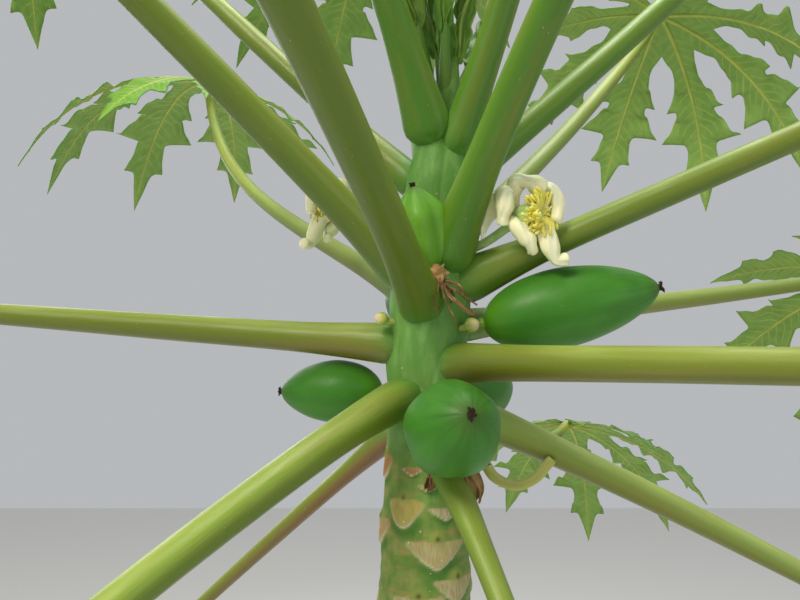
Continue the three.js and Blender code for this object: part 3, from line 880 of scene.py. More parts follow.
    def swell_sheath(self, feet: list[tuple[float, float, float, float]], bark: Bark) -> None:
        """Swells the sheath below the leaf stalks, with a soft crease along each side of it.

        Args:
            feet: azimuth, height, width and rise of each live leaf stalk.
            bark: the bark that it changes.
        """
        z, swell = bark.z, np.zeros_like(bark.z)
        reach = np.clip(bark.radius / 28, 0, 1)
        for azimuth, height, width, rise in feet:
            beside = bark.beside(azimuth)
            slope = math.sin(math.radians(rise))
            edge = height - 0.42 * width / math.cos(math.radians(rise))
            below = (edge - z) / (self.sheath_run * (1 + 0.5 * slope))
            gone = np.where(z < edge, below, np.maximum(z - height, 0) / 11)
            sheath = np.exp(-(np.abs(beside / (0.6 * width)) ** 2.6) - gone**1.6)
            swell = np.maximum(swell, self.sheath_swell * (1 + 0.75 * slope) * sheath * reach)
            run = smooth_step(-75, -8, z - height) * (1 - smooth_step(-8, 8, z - height))
            bark.relief += 0.8 * hump(np.abs(beside) - 0.5 * width, 3.4) * run * reach
            bark.paint("axil", np.exp(-((beside / (0.8 * width)) ** 2) - (gone / 1.2) ** 2))
        bark.relief += swell


@dataclass
class Sap:
    """Drops of dried latex on the bark; the density is in drops a square metre."""

    finish: bpy.types.Material
    density: float = 1700.0
    radius: float = 0.8
    seed: int = 5

    def build(self, bark: Shape) -> None:
        """Strews the drops over the bark as a piece of their own."""
        settings = {
            "Density": self.density,
            "Radius": self.radius * MM,
            "Seed": self.seed,
            "Finish": self.finish,
        }
        drops = DropTree().grown("sap_drops", mesh_of("sap_drops", bark), settings)
        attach(drops, BODY)
        LOG.info("sap_drops: %d faces", len(drops.data.polygons))


# Leaves


class Bloom(Enum):
    """How a leaf stalk's skin looks."""

    GREEN = "green"
    PALE = "pale"
    RUSTY = "rusty"
    VIVID = "vivid"


@dataclass(frozen=True)
class Leaf:
    """One leaf of the spiral.

    Attributes:
        turn: turn off the exact spiral.
        lift: lift off the exact spiral.
        rise_foot: the stalk's rise at the trunk.
        rise_end: the stalk's rise at the blade.
        bend: power of the change between them.
        length: length of the stalk.
        foot: width of the stalk at the trunk.
        shaft: width of the stalk past its swollen foot.
        tip: width of the stalk at the blade.
        pitch: slope of the blade.
        size: scale of the blade.
        skin: look of the stalk.
        slot: name of a material slot for the stalk; not used.
        rust: strength of the rust flush on a rusty stalk.
        rust_reach: how far that flush runs out along the stalk.
        droop: how far the lobes' ends hang below the blade's arch.
        sunlit_tint: whether the blade is painted the light green of a leaf in the sun: painted sunlight, not
            a colour of its own.
    """

    turn: float
    lift: float
    rise_foot: float
    rise_end: float
    bend: float
    length: float
    foot: float
    shaft: float
    tip: float
    pitch: float
    size: float
    skin: Bloom = Bloom.GREEN
    slot: str = "leaf_stalk"
    rust: float = 0.45
    rust_reach: float = 70.0
    droop: float = 22.0
    sunlit_tint: bool = False

    def azimuth(self, index: int) -> float:
        """Returns the azimuth of the leaf with a number counted from the lowest."""
        return SPIRAL.azimuth(index) + self.turn

    def height(self, index: int) -> float:
        """Returns the height of the leaf's foot on the trunk."""
        return SPIRAL.height(index) + self.lift


LEAVES = [
    Leaf(12, -2, -36, -52, 0.5, 480, 28, 22, 12, -76, 0.8),
    Leaf(0, 6, -36, -38, 0.5, 500, 27, 20, 12, -66, 0.8, Bloom.RUSTY, rust=1.0, rust_reach=330.0),
    Leaf(0, 4, -14, -29, 0.18, 620, 36, 31, 15, -56, 0.95, Bloom.PALE, "pale_leaf_stalk"),
    Leaf(2, 3, -8, -30, 0.22, 680, 37, 32, 20, -56, 1),
    Leaf(-22, 0, -17, 8, 2, 620, 34, 28, 15, -17, 0.85, sunlit_tint=True),
    Leaf(0, -1, 0, -1, 1, 700, 37, 33, 16, -42, 1, Bloom.RUSTY),
    Leaf(-3, 0, 4, 5, 1, 680, 39, 32, 15, -40, 1, Bloom.RUSTY),
    Leaf(-7, 1, 6, 8, 1, 690, 32, 25, 17, -38, 1, Bloom.PALE, "pale_leaf_stalk"),
    Leaf(-6, 0, 33, 19, 0.5, 720, 38, 32, 25, -28, 1),
    Leaf(4, -2, 23, 82, 4, 600, 30, 23, 14, 16, 0.95, Bloom.PALE, droop=60.0, sunlit_tint=True),
    Leaf(0, -8, 22, 22, 1, 700, 42, 27, 19, -28, 1),
    Leaf(0, -16, 42, 38, 1, 690, 38, 33, 22, -26, 1),
    Leaf(-20, 0, 32, 42, 1, 640, 30, 24, 14, -24, 0.95, Bloom.PALE, "pale_leaf_stalk"),
    Leaf(6, -32, 55, 38, 0.6, 660, 43, 33, 20, -20, 1, Bloom.VIVID),
    Leaf(0, 26, 42, 46, 1, 720, 32, 26, 15, -14, 0.95),
    Leaf(0, 14, 38, 45, 0.5, 780, 33, 28, 16, -18, 0.95, Bloom.VIVID),
    Leaf(-10, 40, 62, 52, 1, 620, 42, 32, 16, -8, 0.9, Bloom.VIVID),
    Leaf(4, 0, 58, 56, 1, 400, 30, 24, 13, 8, 0.85, Bloom.VIVID),
    Leaf(-8, 2, 62, 72, 0.6, 500, 34, 31, 14, 0, 0.8, Bloom.VIVID),
]


@dataclass
class LeafStalks:
    """The leaf stalks, each a smooth tapering tube with a swollen foot that spreads onto the trunk."""

    trunk: Trunk
    steps: int = 40
    rings: int = 104
    sides: int = 30
    root_depth: float = 0.55
    root_round: float = 7.0
    swell_reach: float = 62.0
    flatness: float = 0.93
    spread: float = 0.1
    skirt: float = 0.12
    spread_reach: float = 24.0
    green_reach: float = 30.0
    seam_reach: float = 11.0
    gap: float = 0.3
    blade_solid: float = 6.0
    blade_middle: float = 3.1

    def line(self, leaf: Leaf, index: int) -> Array:
        """Returns the stalk's line from inside the trunk to its end under the blade."""
        azimuth, height = leaf.azimuth(index), leaf.height(index)
        start = self.trunk.at(azimuth, height)
        root = start - heading(azimuth, leaf.rise_foot) * self.root_depth * self.trunk.radius(height)
        share = (np.arange(self.steps) + 0.5) / self.steps
        rises = leaf.rise_foot + (leaf.rise_end - leaf.rise_foot) * share**leaf.bend
        steps = np.array([heading(azimuth, rise) for rise in rises]) * leaf.length / self.steps
        return np.concatenate([[root, start], start + np.cumsum(steps, axis=0)])

    def blade_centre(self, leaf: Leaf, line: Array) -> Array:
        """Returns the middle of the blade at the end of a stalk's line."""
        along = unit(line[-1] - line[-5])
        angle = math.asin(along[2]) - math.radians(leaf.pitch)
        flat = (self.gap + self.blade_solid + leaf.tip / 2 * math.cos(angle)) / math.sin(angle)
        return line[-1] + along * (flat + Blade.curl * flat**2 / 2 / math.sin(angle))

    def shape(self, leaf: Leaf, index: int) -> Shape:
        """Builds one stalk.

        Args:
            leaf: the leaf.
            index: its number, counted from the lowest.

        Returns:
            The closed surface, with the values top (a painted highlight along the upper side), below (painted
            shade along the underside), foot, seam, rust and end.
        """
        azimuth = leaf.azimuth(index)
        line = self.line(leaf, index)
        top = facing(azimuth, leaf.pitch)[:, 2]
        goal = self.blade_centre(leaf, line) - top * self.blade_middle
        line = np.concatenate([line, [line[-1] + (goal - line[-1]) * share for share in (0.4, 0.75, 1.0)]])
        path = through(line, self.rings)
        apart = lengths(path)
        root = np.linalg.norm(line[1] - line[0])
        gone = np.maximum(apart - root, 0)
        share = np.minimum(gone / leaf.length, 1)
        width = leaf.tip + (leaf.shaft - leaf.tip) * (1 - share)
        width = width + (leaf.foot - leaf.shaft) * hump(gone, self.swell_reach)
        width *= 1 + 0.12 * smooth_step(leaf.length - 30, leaf.length + 5, gone)
        width *= 0.3 + 0.7 * np.sqrt(np.clip(apart / (root + self.root_round), 0, 1))
        turn = turns(self.sides)
        far = gone[:, None]
        uneven = 1 + 0.012 * np.sin(3 * turn + far / 83 + index) * np.sin(far / 41 + index)
        skirt = np.clip(-np.sin(turn), 0, 1) ** 0.7 * self.skirt + self.spread * np.abs(np.cos(turn))
        uneven = uneven + skirt * np.exp(-((far / self.spread_reach) ** 1.3))
        half = width / 2
        shape = sweep(path, heading(azimuth + 90, 0), half, half * self.flatness, self.sides, uneven)
        upness = np.tile(np.sin(turn), len(path))
        run = np.repeat(gone, self.sides)
        rust = (leaf.skin is Bloom.RUSTY) * leaf.rust * np.exp(-run / leaf.rust_reach)
        corners = shape.corners[: len(run)]
        off = corners - self.trunk.axis(corners[:, 2])
        off = np.maximum(0, np.hypot(off[:, 0], off[:, 1]) - self.trunk.radius(corners[:, 2]))
        values = {
            # top paints a highlight along the stalk's upper side and below paints shade along its underside.
            "top": smooth_step(-0.1, 0.95, upness),
            "below": smooth_step(0.05, -0.85, upness),
            # foot paints a darker, more saturated green next to the trunk: partly the stalk's own green,
            # partly painted shade in the crook against the trunk.
            "foot": hump(off, self.green_reach),
            "seam": hump(np.maximum(0, off - 3), self.seam_reach),
            "rust": rust * smooth_step(0.2, -0.7, upness),
            "end": smooth_step(leaf.length - 70, leaf.length, run),
        }
        shape.values["limb"] += np.array([index * 0.37, 0, index * 131.0])
        return shape.valued(values)


@dataclass(frozen=True)
class Lobe:
    """One lobe of a blade: its angle from the middle lobe, its length by the blade's radius, its margin."""

    angle: float
    reach: float
    lobed: bool

    def flat(self, along: Array, off: Array) -> Array:
        """Returns flat places from distances along and off the rib, both by the lobe's length."""
        a = math.radians(self.angle)
        x = math.cos(a) * along - math.sin(a) * off
        y = math.sin(a) * along + math.cos(a) * off
        return np.stack([x, y], axis=-1) * self.reach


@dataclass
class Blade:
    """A blade with nine lobes that arch down from the stalk's end, with raised ribs and side veins."""

    radius: float = 335.0
    last_angle: float = 158.0
    curl: float = 0.0034
    fold: float = 0.1
    sinus: float = 0.24
    stalk_sinus: float = 0.04
    full_lobes: float = 1.6
    mesh_step: float = 0.02
    margin_step: float = 0.014
    grid_rows: int = 58
    grid_columns: int = 52
    top_drop: float = 2.5
    thickness: float = 1.2
    rib_radius: float = 3.3
    vein_radius: float = 1.15
    vein_end: float = 0.68
    first_vein: float = 0.1
    last_vein: float = 0.93
    vein_step: float = 0.046
    vein_points: int = 13
    vein_stride: float = 0.026
    vein_angle: float = 58.0
    vein_curve: float = 0.058
    rib_sides: int = 8
    vein_sides: int = 4

    def __post_init__(self) -> None:
        """Works out the flat blade once; every leaf bends a copy of it."""
        sizes = [(self.last_angle, 0.42, False), (118, 0.68, False), (77, 0.87, True), (38, 0.97, True)]
        left = [Lobe(-angle, reach, lobed) for angle, reach, lobed in sizes]
        right = [Lobe(angle, reach, lobed) for angle, reach, lobed in reversed(sizes)]
        self.lobes = [*left, Lobe(0, 1, True), *right]
        self.outline = self.margin()
        self.lines, self.line_radii = self.veins()
        self.flat, self.triangles, self.edge, self.on_vein = self.sheet()

    def margin(self) -> Array:
        """Returns the flat outline, lobe by lobe, with pointed side lobes and rounded cuts."""
        lobed = [
            [(0.33, 0.06), (0.40, 0.07), (0.47, 0.1), (0.535, 0.15)],
            [(0.543, 0.1), (0.6, 0.125), (0.645, 0.17), (0.69, 0.222)],
            [(0.7, 0.14), (0.715, 0.085), (0.78, 0.088), (0.855, 0.12)],
            [(0.862, 0.062), (0.92, 0.036), (1.0, 0.0)],
        ]
        plain = [
            [(0.38, 0.085), (0.48, 0.12), (0.6, 0.175)],
            [(0.62, 0.118), (0.7, 0.1), (0.79, 0.125)],
            [(0.81, 0.065), (0.9, 0.036), (1.0, 0.0)],
        ]
        outline: list[Array] = []
        for number, lobe in enumerate(self.lobes):
            halves = []
            for side in (-1, 1):
                other = self.lobes[(number + side) % len(self.lobes)]
                over_stalk = abs(other.angle - lobe.angle) > 180
                between = side * (180 - self.last_angle) if over_stalk else (other.angle - lobe.angle) / 2
                middle = math.radians(between)
                share = min(1.0, (lobe.reach + other.reach) / self.full_lobes)
                depth = (self.stalk_sinus if over_stalk else self.sinus * share) / lobe.reach
                last = np.array([math.cos(middle), abs(math.sin(middle))]) * depth
                run: list[Array] = []
                for stretch in lobed if lobe.lobed else plain:
                    knots = np.array([last, *stretch])
                    length = np.sum(np.linalg.norm(np.diff(knots, axis=0), axis=1)) * lobe.reach
                    run.append(through(knots, max(4, int(length / self.margin_step)))[:-1])
                    last = knots[-1]
                half = np.concatenate([*run, [last]])
                halves.append(lobe.flat(half[:, 0], side * half[:, 1]))
            outline += [halves[0], halves[1][::-1][1:-1]]
        return np.concatenate(outline)

    def inside(self, places: Array) -> Array:
        """Returns which flat places lie inside the outline."""
        x, y = places[:, :1], places[:, 1:]
        ax, ay = self.outline.T
        bx, by = np.roll(self.outline, -1, axis=0).T
        crossing = (ay > y) != (by > y)
        with np.errstate(divide="ignore", invalid="ignore"):
            reach = (bx - ax) * (y - ay) / (by - ay) + ax
        return np.sum(crossing & (x < reach), axis=1) % 2 == 1

    def sheet(self) -> tuple[Array, Array, Array, Array]:
        """Fills the outline with triangles that have edges along every rib and vein.

        Returns:
            The flat places, the triangles, the places' numbers along the outline and those along the veins.
        """
        step = self.mesh_step
        up = np.arange(-self.grid_rows, self.grid_rows + 1)
        out = np.arange(-self.grid_columns, self.grid_columns + 1)
        row, column = np.meshgrid(up, out, indexing="ij")
        grid = np.stack([(column + 0.5 * (row % 2)) * step, row * step * 0.866], axis=-1).reshape(-1, 2)
        grid = grid[self.inside(grid)]
        side_veins = self.lines[len(self.lobes) :]
        kept_free = np.concatenate([self.outline, *side_veins])
        apart = np.linalg.norm(grid[:, None] - kept_free[None], axis=2).min(axis=1)
        _, off, _ = self.beside_rib(grid)
        grid = grid[(apart > 0.55 * step) & (np.abs(off) > 0.45 * step)]
        places = [self.outline, np.zeros((1, 2))]
        bonds = [(k, (k + 1) % len(self.outline)) for k in range(len(self.outline))]
        centre = len(self.outline)
        count = centre + 1
        for lobe in self.lobes:
            along = np.arange(step / lobe.reach, 1 - 0.5 * step / lobe.reach, step / lobe.reach)
            places.append(lobe.flat(along, 0 * along))
            bonds += [(centre if k == 0 else count + k - 1, count + k) for k in range(len(along))]
            count += len(along)
        first_vein = count
        for vein in side_veins:
            places.append(vein)
            bonds += [(count + k, count + k + 1) for k in range(len(vein) - 1)]
            count += len(vein)
        places.append(grid)
        whole = np.concatenate(places)
        found = delaunay_2d_cdt([Vector(place) for place in whole], bonds, [], 1, 1e-6)
        moved = {origin: number for number, origins in enumerate(found[3]) for origin in origins}
        edge = np.array([moved[k] for k in range(len(self.outline))])
        on_vein = np.array([moved[k] for k in range(first_vein, count)])
        return np.array([tuple(v) for v in found[0]]), np.array(found[2]), edge, on_vein

    def beside_rib(self, places: Array) -> tuple[Array, Array, Array]:
        """Returns how far flat places lie along and off their own rib, and the length of its lobe."""
        angle = np.degrees(np.arctan2(places[:, 1], places[:, 0]))
        apart = np.array([np.abs(wrapped(angle - lobe.angle, 360)) for lobe in self.lobes])
        own = apart.argmin(axis=0)
        turn = np.radians(np.array([lobe.angle for lobe in self.lobes])[own])
        along = places[:, 0] * np.cos(turn) + places[:, 1] * np.sin(turn)
        off = places[:, 1] * np.cos(turn) - places[:, 0] * np.sin(turn)
        return along, off, np.array([lobe.reach for lobe in self.lobes])[own]

    def veins(self) -> tuple[list[Array], list[Array]]:
        """Returns the flat lines of the ribs and then of the side veins, and the radii along each."""
        lines, radii = [], []
        for lobe in self.lobes:
            along = np.linspace(0, 0.985, 26)
            lines.append(lobe.flat(along, 0 * along))
            radii.append(self.rib_radius * (0.55 + 0.45 * lobe.reach) * (1 - along) ** 0.75 + 0.3)
        for lobe in self.lobes:
            for side in (-1, 1):
                first = self.first_vein + (side > 0) * self.vein_step / 2
                for start in np.arange(first, self.last_vein, self.vein_step):
                    run = self.side_vein(lobe, side, start)
                    if len(run) > 2:
                        lines.append(lobe.flat(run[:, 0], run[:, 1]))
                        share = np.linspace(1, 0.1, len(run)) * (1.1 - 0.4 * start)
                        radii.append(self.vein_end + (self.vein_radius - self.vein_end) * share)
        return lines, radii

    def side_vein(self, lobe: Lobe, side: int, start: float) -> Array:
        """Follows a side vein from its rib until it meets the margin or the next lobe.

        Args:
            lobe: the lobe that it runs in.
            side: the side of the rib, -1 or 1.
            start: where it leaves the rib, by the lobe's reach.

        Returns:
            Its places, as along and beside the rib.
        """
        place, turn = np.array([start, 0.0]), math.radians(self.vein_angle)
        line = [place]
        while len(line) < self.vein_points:
            place = place + np.array([math.cos(turn), side * math.sin(turn)]) * self.vein_stride
            turn -= self.vein_curve
            spot = lobe.flat(place[0], place[1])[None]
            _, off, _ = self.beside_rib(spot)
            if not self.inside(spot)[0] or abs(off[0] - place[1] * lobe.reach) > 1e-6:
                break
            line.append(place)
        return np.array(line)

    def bent(self, flat: Array, drop: Array | float, leaf: Leaf, index: int) -> Array:
        """Bends flat places into the blade's own frame.

        Args:
            flat: places on the flat blade, by its radius.
            drop: depth below the blade's top.
            leaf: the leaf, which gives the blade's size and the droop of its lobes.
            index: the leaf's number, which varies its ruffles.

        Returns:
            The bent places, the middle lobe along +X.
        """
        rng = np.random.default_rng(100 + index)
        phases = rng.uniform(0, 2 * math.pi, 4)
        radius = self.radius * leaf.size
        out = np.hypot(flat[:, 0], flat[:, 1])
        angle = np.arctan2(flat[:, 1], flat[:, 0])
        along, off, reach = self.beside_rib(flat)
        arc = out * radius * self.curl
        run = np.sin(arc) / self.curl - drop * np.sin(arc)
        fall = (1 - np.cos(arc)) / self.curl + drop * np.cos(arc)
        lift = self.fold * np.abs(off) * radius * smooth_step(0.2, 0.5, along / reach)
        sway = 11 * np.sin(2 * angle + phases[0]) + 7 * np.sin(5 * angle + phases[1])
        ruffle = 3.6 * np.sin(out * 46 + phases[2]) + 2.2 * np.sin(out * 83 + phases[3] + 3 * angle)
        lift += ruffle * np.clip(np.abs(off) / 0.1, 0, 1) * smooth_step(0.2, 0.4, out)
        lift += sway * out**2 - leaf.droop * out**4
        return np.stack([np.cos(angle) * run, np.sin(angle) * run, lift - fall], axis=-1)

    def shape(self, leaf: Leaf, index: int, tubes: TubeTree) -> Shape:
        """Builds one blade in its own frame.

        Args:
            leaf: the leaf.
            index: its number.
            tubes: maker of the ribs and veins.

        Returns:
            The closed surfaces: finish 0 above, 1 below and 2 for the ribs, with the values rib and tone: a
                lighter
            green that varies at random from leaf to leaf, and painted sunlight on blades in the sun.
        """
        top = self.bent(self.flat, self.top_drop, leaf, index)
        below = self.bent(self.flat, self.top_drop + self.thickness, leaf, index)
        count = len(self.flat)
        following = np.roll(self.edge, -1)
        rim = np.stack([self.edge, self.edge + count, following + count, following], axis=1)
        _, off, _ = self.beside_rib(self.flat)
        radius = self.radius * leaf.size
        limb = np.concatenate([self.flat * radius, np.full((count, 1), index * 57.0)], axis=1)
        # Blades marked fresh take the full lighter green as painted sunlight; the others vary at random.
        tone_and_sun_tint = np.full(2 * count, 1.0 if leaf.sunlit_tint else (index * 0.618) % 1)
        beside = hump(off, 0.015)
        beside[self.on_vein] = np.maximum(beside[self.on_vein], 0.6)
        values = {"rib": np.tile(beside, 2), "tone_and_sun_tint": tone_and_sun_tint, "limb": np.tile(limb, (2, 1))}
        faces = [self.triangles, self.triangles[:, ::-1] + count, rim]
        skin = Shape(np.concatenate([top, below]), faces, [0, 1, 0], values)
        lines, radii = [], []
        for line, thick in zip(self.lines, self.line_radii):
            depth = self.top_drop + self.thickness / 2 + 0.3 * np.maximum(thick - 0.8, 0)
            lines.append(self.bent(line, depth, leaf, index))
            radii.append(np.maximum(thick * leaf.size, self.vein_end))
        count = len(self.lobes)
        ribs = tubes.along(lines[:count], radii[:count], self.rib_sides)
        veins = tubes.along(lines[count:], radii[count:], self.vein_sides)
        return join([skin, ribs.painted(2), veins.painted(2)])


@dataclass(frozen=True)
class YoungLeaf:
    """A folded leaf of the heart: slope, length and width of its stalk, length and number of its lobes."""

    rise: float
    length: float
    width: float
    bud: float
    buds: int
    brown: float


YOUNG_LEAVES = [
    YoungLeaf(80, 110, 17, 240, 4, 0.25),
    YoungLeaf(58, 84, 16, 226, 4, 0.0),
    YoungLeaf(82, 78, 14, 202, 4, 0.0),
    YoungLeaf(80, 46, 13, 179, 4, 0.1),
    YoungLeaf(78, 26, 12, 144, 4, 0.15),
    YoungLeaf(84, 14, 11, 111, 4, 0.0),
]


@dataclass
class Heart:
    """The young leaves round the growing point: a stalk each and lobes folded along their ribs."""

    trunk: Trunk
    bulge: float = 0.075
    thickness: float = 1.3
    stalk_rings: int = 34
    stalk_sides: int = 18
    lobe_rows: int = 60
    lobe_columns: int = 13

    def shape(self, young: YoungLeaf, index: int) -> Shape:
        """Builds one young leaf.

        Args:
            young: its sizes.
            index: its number in the spiral, counted from the lowest leaf.

        Returns:
            The closed surfaces: finish 0 for the stalk and 1 for the lobes, with the values rib and brown.
        """
        azimuth = SPIRAL.azimuth(index)
        start = self.trunk.at(azimuth, min(SPIRAL.height(index), self.trunk.tip - 8), 0.2)
        along = heading(azimuth, young.rise)
        across = heading(azimuth + 90, 0)
        over = np.cross(across, along)
        share = np.linspace(0, 1, self.stalk_rings)
        half = np.interp(share, [0, 0.3, 0.7, 1], [1, 0.9, 0.7, 0.6]) * young.width / 2
        path = start + along * (share * young.length)[:, None]
        shapes = [sweep(path, across, half, half, self.stalk_sides)]
        rows, columns = np.linspace(-0.04, 1, self.lobe_rows), np.linspace(-1, 1, self.lobe_columns)
        whole = np.ones((self.lobe_rows, self.lobe_columns))
        for lobe in range(young.buds):
            turn = lobe / young.buds * 2 * math.pi
            out = across * math.cos(turn) + over * math.sin(turn)
            reach = young.bud * (1 - 0.12 * (lobe % 3))
            bulge = self.bulge * young.bud * np.sin(np.maximum(0, rows) * 2.4)
            sway = 2.5 * np.sin(rows * 9 + lobe * 2 + index)
            side = np.cross(along, out)
            line = start + along * (young.length + rows * reach)[:, None]
            line = line + out * bulge[:, None] + side * sway[:, None]
            teeth = 0.72 + 0.28 * np.abs(np.sin(rows * 14 + lobe))
            belly = np.sin(math.pi * np.clip(rows + 0.05, 0.01, 1) ** 0.75) ** 0.8
            deep = young.width * 1.2 * belly * teeth + 1.2
            spread = np.radians(24 + 10 * np.sin(rows * 6 + lobe))
            wave = 1.4 * np.sin(rows[:, None] * 42 + columns * 2.0 + lobe) * np.abs(columns) ** 2
            fold = np.abs(columns)
            reach_side = (deep * np.sin(spread))[:, None] * columns + wave
            sheet = ribbon(line, side, reach_side, -out, (deep * np.cos(spread))[:, None] * fold)
            limb = [deep[:, None] * columns, whole * 40 * lobe, whole * (rows * reach)[:, None]]
            values = {
                "rib": whole * hump(fold, 0.16),
                "brown": whole * young.brown,
                "limb": np.stack(limb, axis=-1),
            }
            shapes.append(thickened(sheet, whole * self.thickness, values).painted(1))
        return join(shapes)


# Fruit


@dataclass(frozen=True)
class Fruit:
    """A fruit: its node's name, where its stalk stands, the way it points, and its sizes."""

    name: str
    azimuth: float
    height: float
    points: tuple[float, float]
    length: float
    width: float
    stalk: float
    ribs: float
    young: float = 0.0


FRUITS = [
    Fruit("fruit_long_right", -30, 1424, (-5, 12), 156, 70, 22, 0.02),
    Fruit("fruit_front", -80, 1328, (-78, 16), 96, 77, 12, 0.05),
    Fruit("fruit_left", 150, 1368, (168, 0), 98, 58, 14, 0.03),
    Fruit("fruit_young_upright", -86, 1461, (-128, 70), 78, 43, 12, 0.08, 1.0),
    Fruit("fruit_back_low", 62, 1380, (58, -8), 112, 66, 16, 0.04),
    Fruit("fruit_back_high", 105, 1436, (100, 18), 88, 50, 16, 0.06),
]


@dataclass
class FruitCluster:
    """The green fruits, five-ribbed, with the dried star of the flower at their tips."""

    trunk: Trunk
    sides: int = 100
    rings: int = 96
    widest: float = 0.84
    fullness: float = 0.54
    star_fruit_width: float = 77.0
    stalk_radius: float = 5.0
    stalk_root: float = 8.0
    stalk_rings: int = 16
    stalk_sides: int = 20

    def shape(self, fruit: Fruit) -> Shape:
        """Builds one fruit.

        Args:
            fruit: the fruit.

        Returns:
            The closed surfaces: finish 0 for skin, 1 for the dried star and 2 for the stalk, with the values
            tip, base, groove (painted shade in the grooves), young and up (a painted sheen on the upper
            side).
        """
        share = eased(self.rings, 0.004)
        half = fruit.width / 2 * np.sin(math.pi * share**self.widest) ** self.fullness
        path = along_x(fruit.stalk + share * fruit.length)
        turn = turns(self.sides) - math.pi / 2
        wave = np.cos(5 * turn)
        half = half * (1 + fruit.young * 0.24 * hump(share - 0.74, 0.17))
        ribs = (0.5 + 0.7 * fruit.young) * fruit.ribs * wave
        apart = (np.degrees(turn) / 36 + 1) % 2 - 1
        between = ((np.degrees(turn) + 21) / 18 + 1) % 2 - 1
        late, later = smooth_step(0.4, 0.97, share)[:, None], smooth_step(0.66, 1.0, share)[:, None]
        # The groove value darkens the hollows between the ribs and the fine furrows near the tip: painted
        # shade.
        groove = hump(apart, 0.13) * (wave < 0) * late
        fine = hump(between, 0.2) * later
        dents = 0.008 * np.sin(3 * turn + 9 * share[:, None]) * np.sin(11 * share[:, None] + turn)
        outline = 1 + ribs - 0.065 * groove - 0.035 * fine + dents
        body = sweep(path, SIDEWAYS, half, half, self.sides, outline)
        run = np.repeat(share, self.sides)
        values = {
            "tip": smooth_step(0.9, 1.0, run),
            "base": 1 - smooth_step(0.0, 0.22, run),
            "groove": np.clip((0.3 * smooth_step(-0.6, -1.0, wave) + groove + 0.7 * fine).ravel(), 0, 1),
            "young": np.full(len(run), fruit.young),
        }
        reach = np.linspace(-self.stalk_root, fruit.stalk + 2.5, self.stalk_rings)
        thick = self.stalk_radius * (1 + 0.35 * hump(reach - fruit.stalk, 5))
        stalk = sweep(along_x(reach), SIDEWAYS, thick, thick, self.stalk_sides).painted(2)
        whole = join([body.valued(values), stalk, self.star(fruit)])
        whole = whole.placed(facing(*fruit.points), self.trunk.at(fruit.azimuth, fruit.height))
        # up paints the upper side paler and bluer: a painted sheen from the light above.
        up = whole.corners[:, 2] - whole.corners[:, 2].mean()
        whole.values["up"] = smooth_step(-0.2 * fruit.width, 0.5 * fruit.width, up)
        return whole

    def star(self, fruit: Fruit) -> Shape:
        """Returns the shrivelled dark star left by the flower at a fruit's tip."""
        end = fruit.stalk + fruit.length
        size = fruit.width / self.star_fruit_width
        rings, sides, knob_rings, knob_sides = 22, 10, 14, 20
        shapes = []
        for arm in range(5):
            turn = math.radians(90 + 36 + 72 * arm + 20 * math.sin(arm * 2.3))
            out = np.array([0.0, 0.42 * math.cos(turn), 0.78 * math.sin(turn)])
            knots = np.array(
                [
                    [end - 3, 0, 0],
                    [end + 1.0, 0, 0] + out * 2.4,
                    [end + 2.6, 0, 0] + out * 5.2 * size,
                    [end + 2.0 + 1.6 * math.sin(arm), 0, 0] + out * (9 + 2.5 * math.sin(arm * 3)) * size,
                ]
            )
            path = through(knots, rings)
            t = np.linspace(0, 1, rings)
            half = 2.5 * size * (1 - t) ** 0.6 + 0.35
            crumple = 1 + 0.25 * np.sin(np.arange(sides) * 1.9 + t[:, None] * 17 + arm)
            shapes.append(sweep(path, np.cross(out, [1.0, 0, 0]), half, half * 0.55, sides, crumple))
        t = np.linspace(0, 1, knob_rings)
        knob = np.stack([end - 4 + 7.5 * t * size, 0.6 * np.sin(5 * t), 0 * t], axis=1)
        half = 3.4 * size * np.sqrt(np.clip(1 - t**2.2, 0.003, 1))
        crumple = 1 + 0.2 * np.cos(5 * turns(knob_sides) + 3 * t[:, None])
        shapes.append(sweep(knob, SIDEWAYS, half, half, knob_sides, crumple))
        return join(shapes).painted(1)


# Blossom


@dataclass(frozen=True)
class Flower:
    """An open flower: its node, where its stalk stands, its middle, the way it faces and its scale."""

    name: str
    azimuth: float
    height: float
    centre: Triple
    faces: tuple[float, float]
    size: float


@dataclass(frozen=True)
class DriedFlower:
    """A dried flower: its node, where its stalk stands, its middle, scale, and if only bracts are left."""

    name: str
    azimuth: float
    height: float
    centre: Triple
    size: float
    bracts: bool = False


@dataclass(frozen=True)
class Bud:
    """A small round bud: its node, its middle and its radius."""

    name: str
    centre: Triple
    radius: float


FLOWERS = [
    Flower("flower_right", -15, 1492, (108, -42, 1518), (-40, 8), 1.0),
    Flower("flower_left", 165, 1518, (-46, 34, 1538), (170, 10), 0.9),
    Flower("flower_back", 75, 1480, (62, 92, 1500), (72, 14), 0.9),
]
DRIED_FLOWERS = [
    DriedFlower("dried_flower_front", -62, 1464, (54, -44, 1456), 1.0),
    DriedFlower("dried_flower_low", -56, 1304, (64, -46, 1299), 0.7, bracts=True),
]
BUDS = [Bud("bud_right", (70, -34, 1428), 6.5), Bud("bud_left", (-8, -22, 1434), 6.0)]


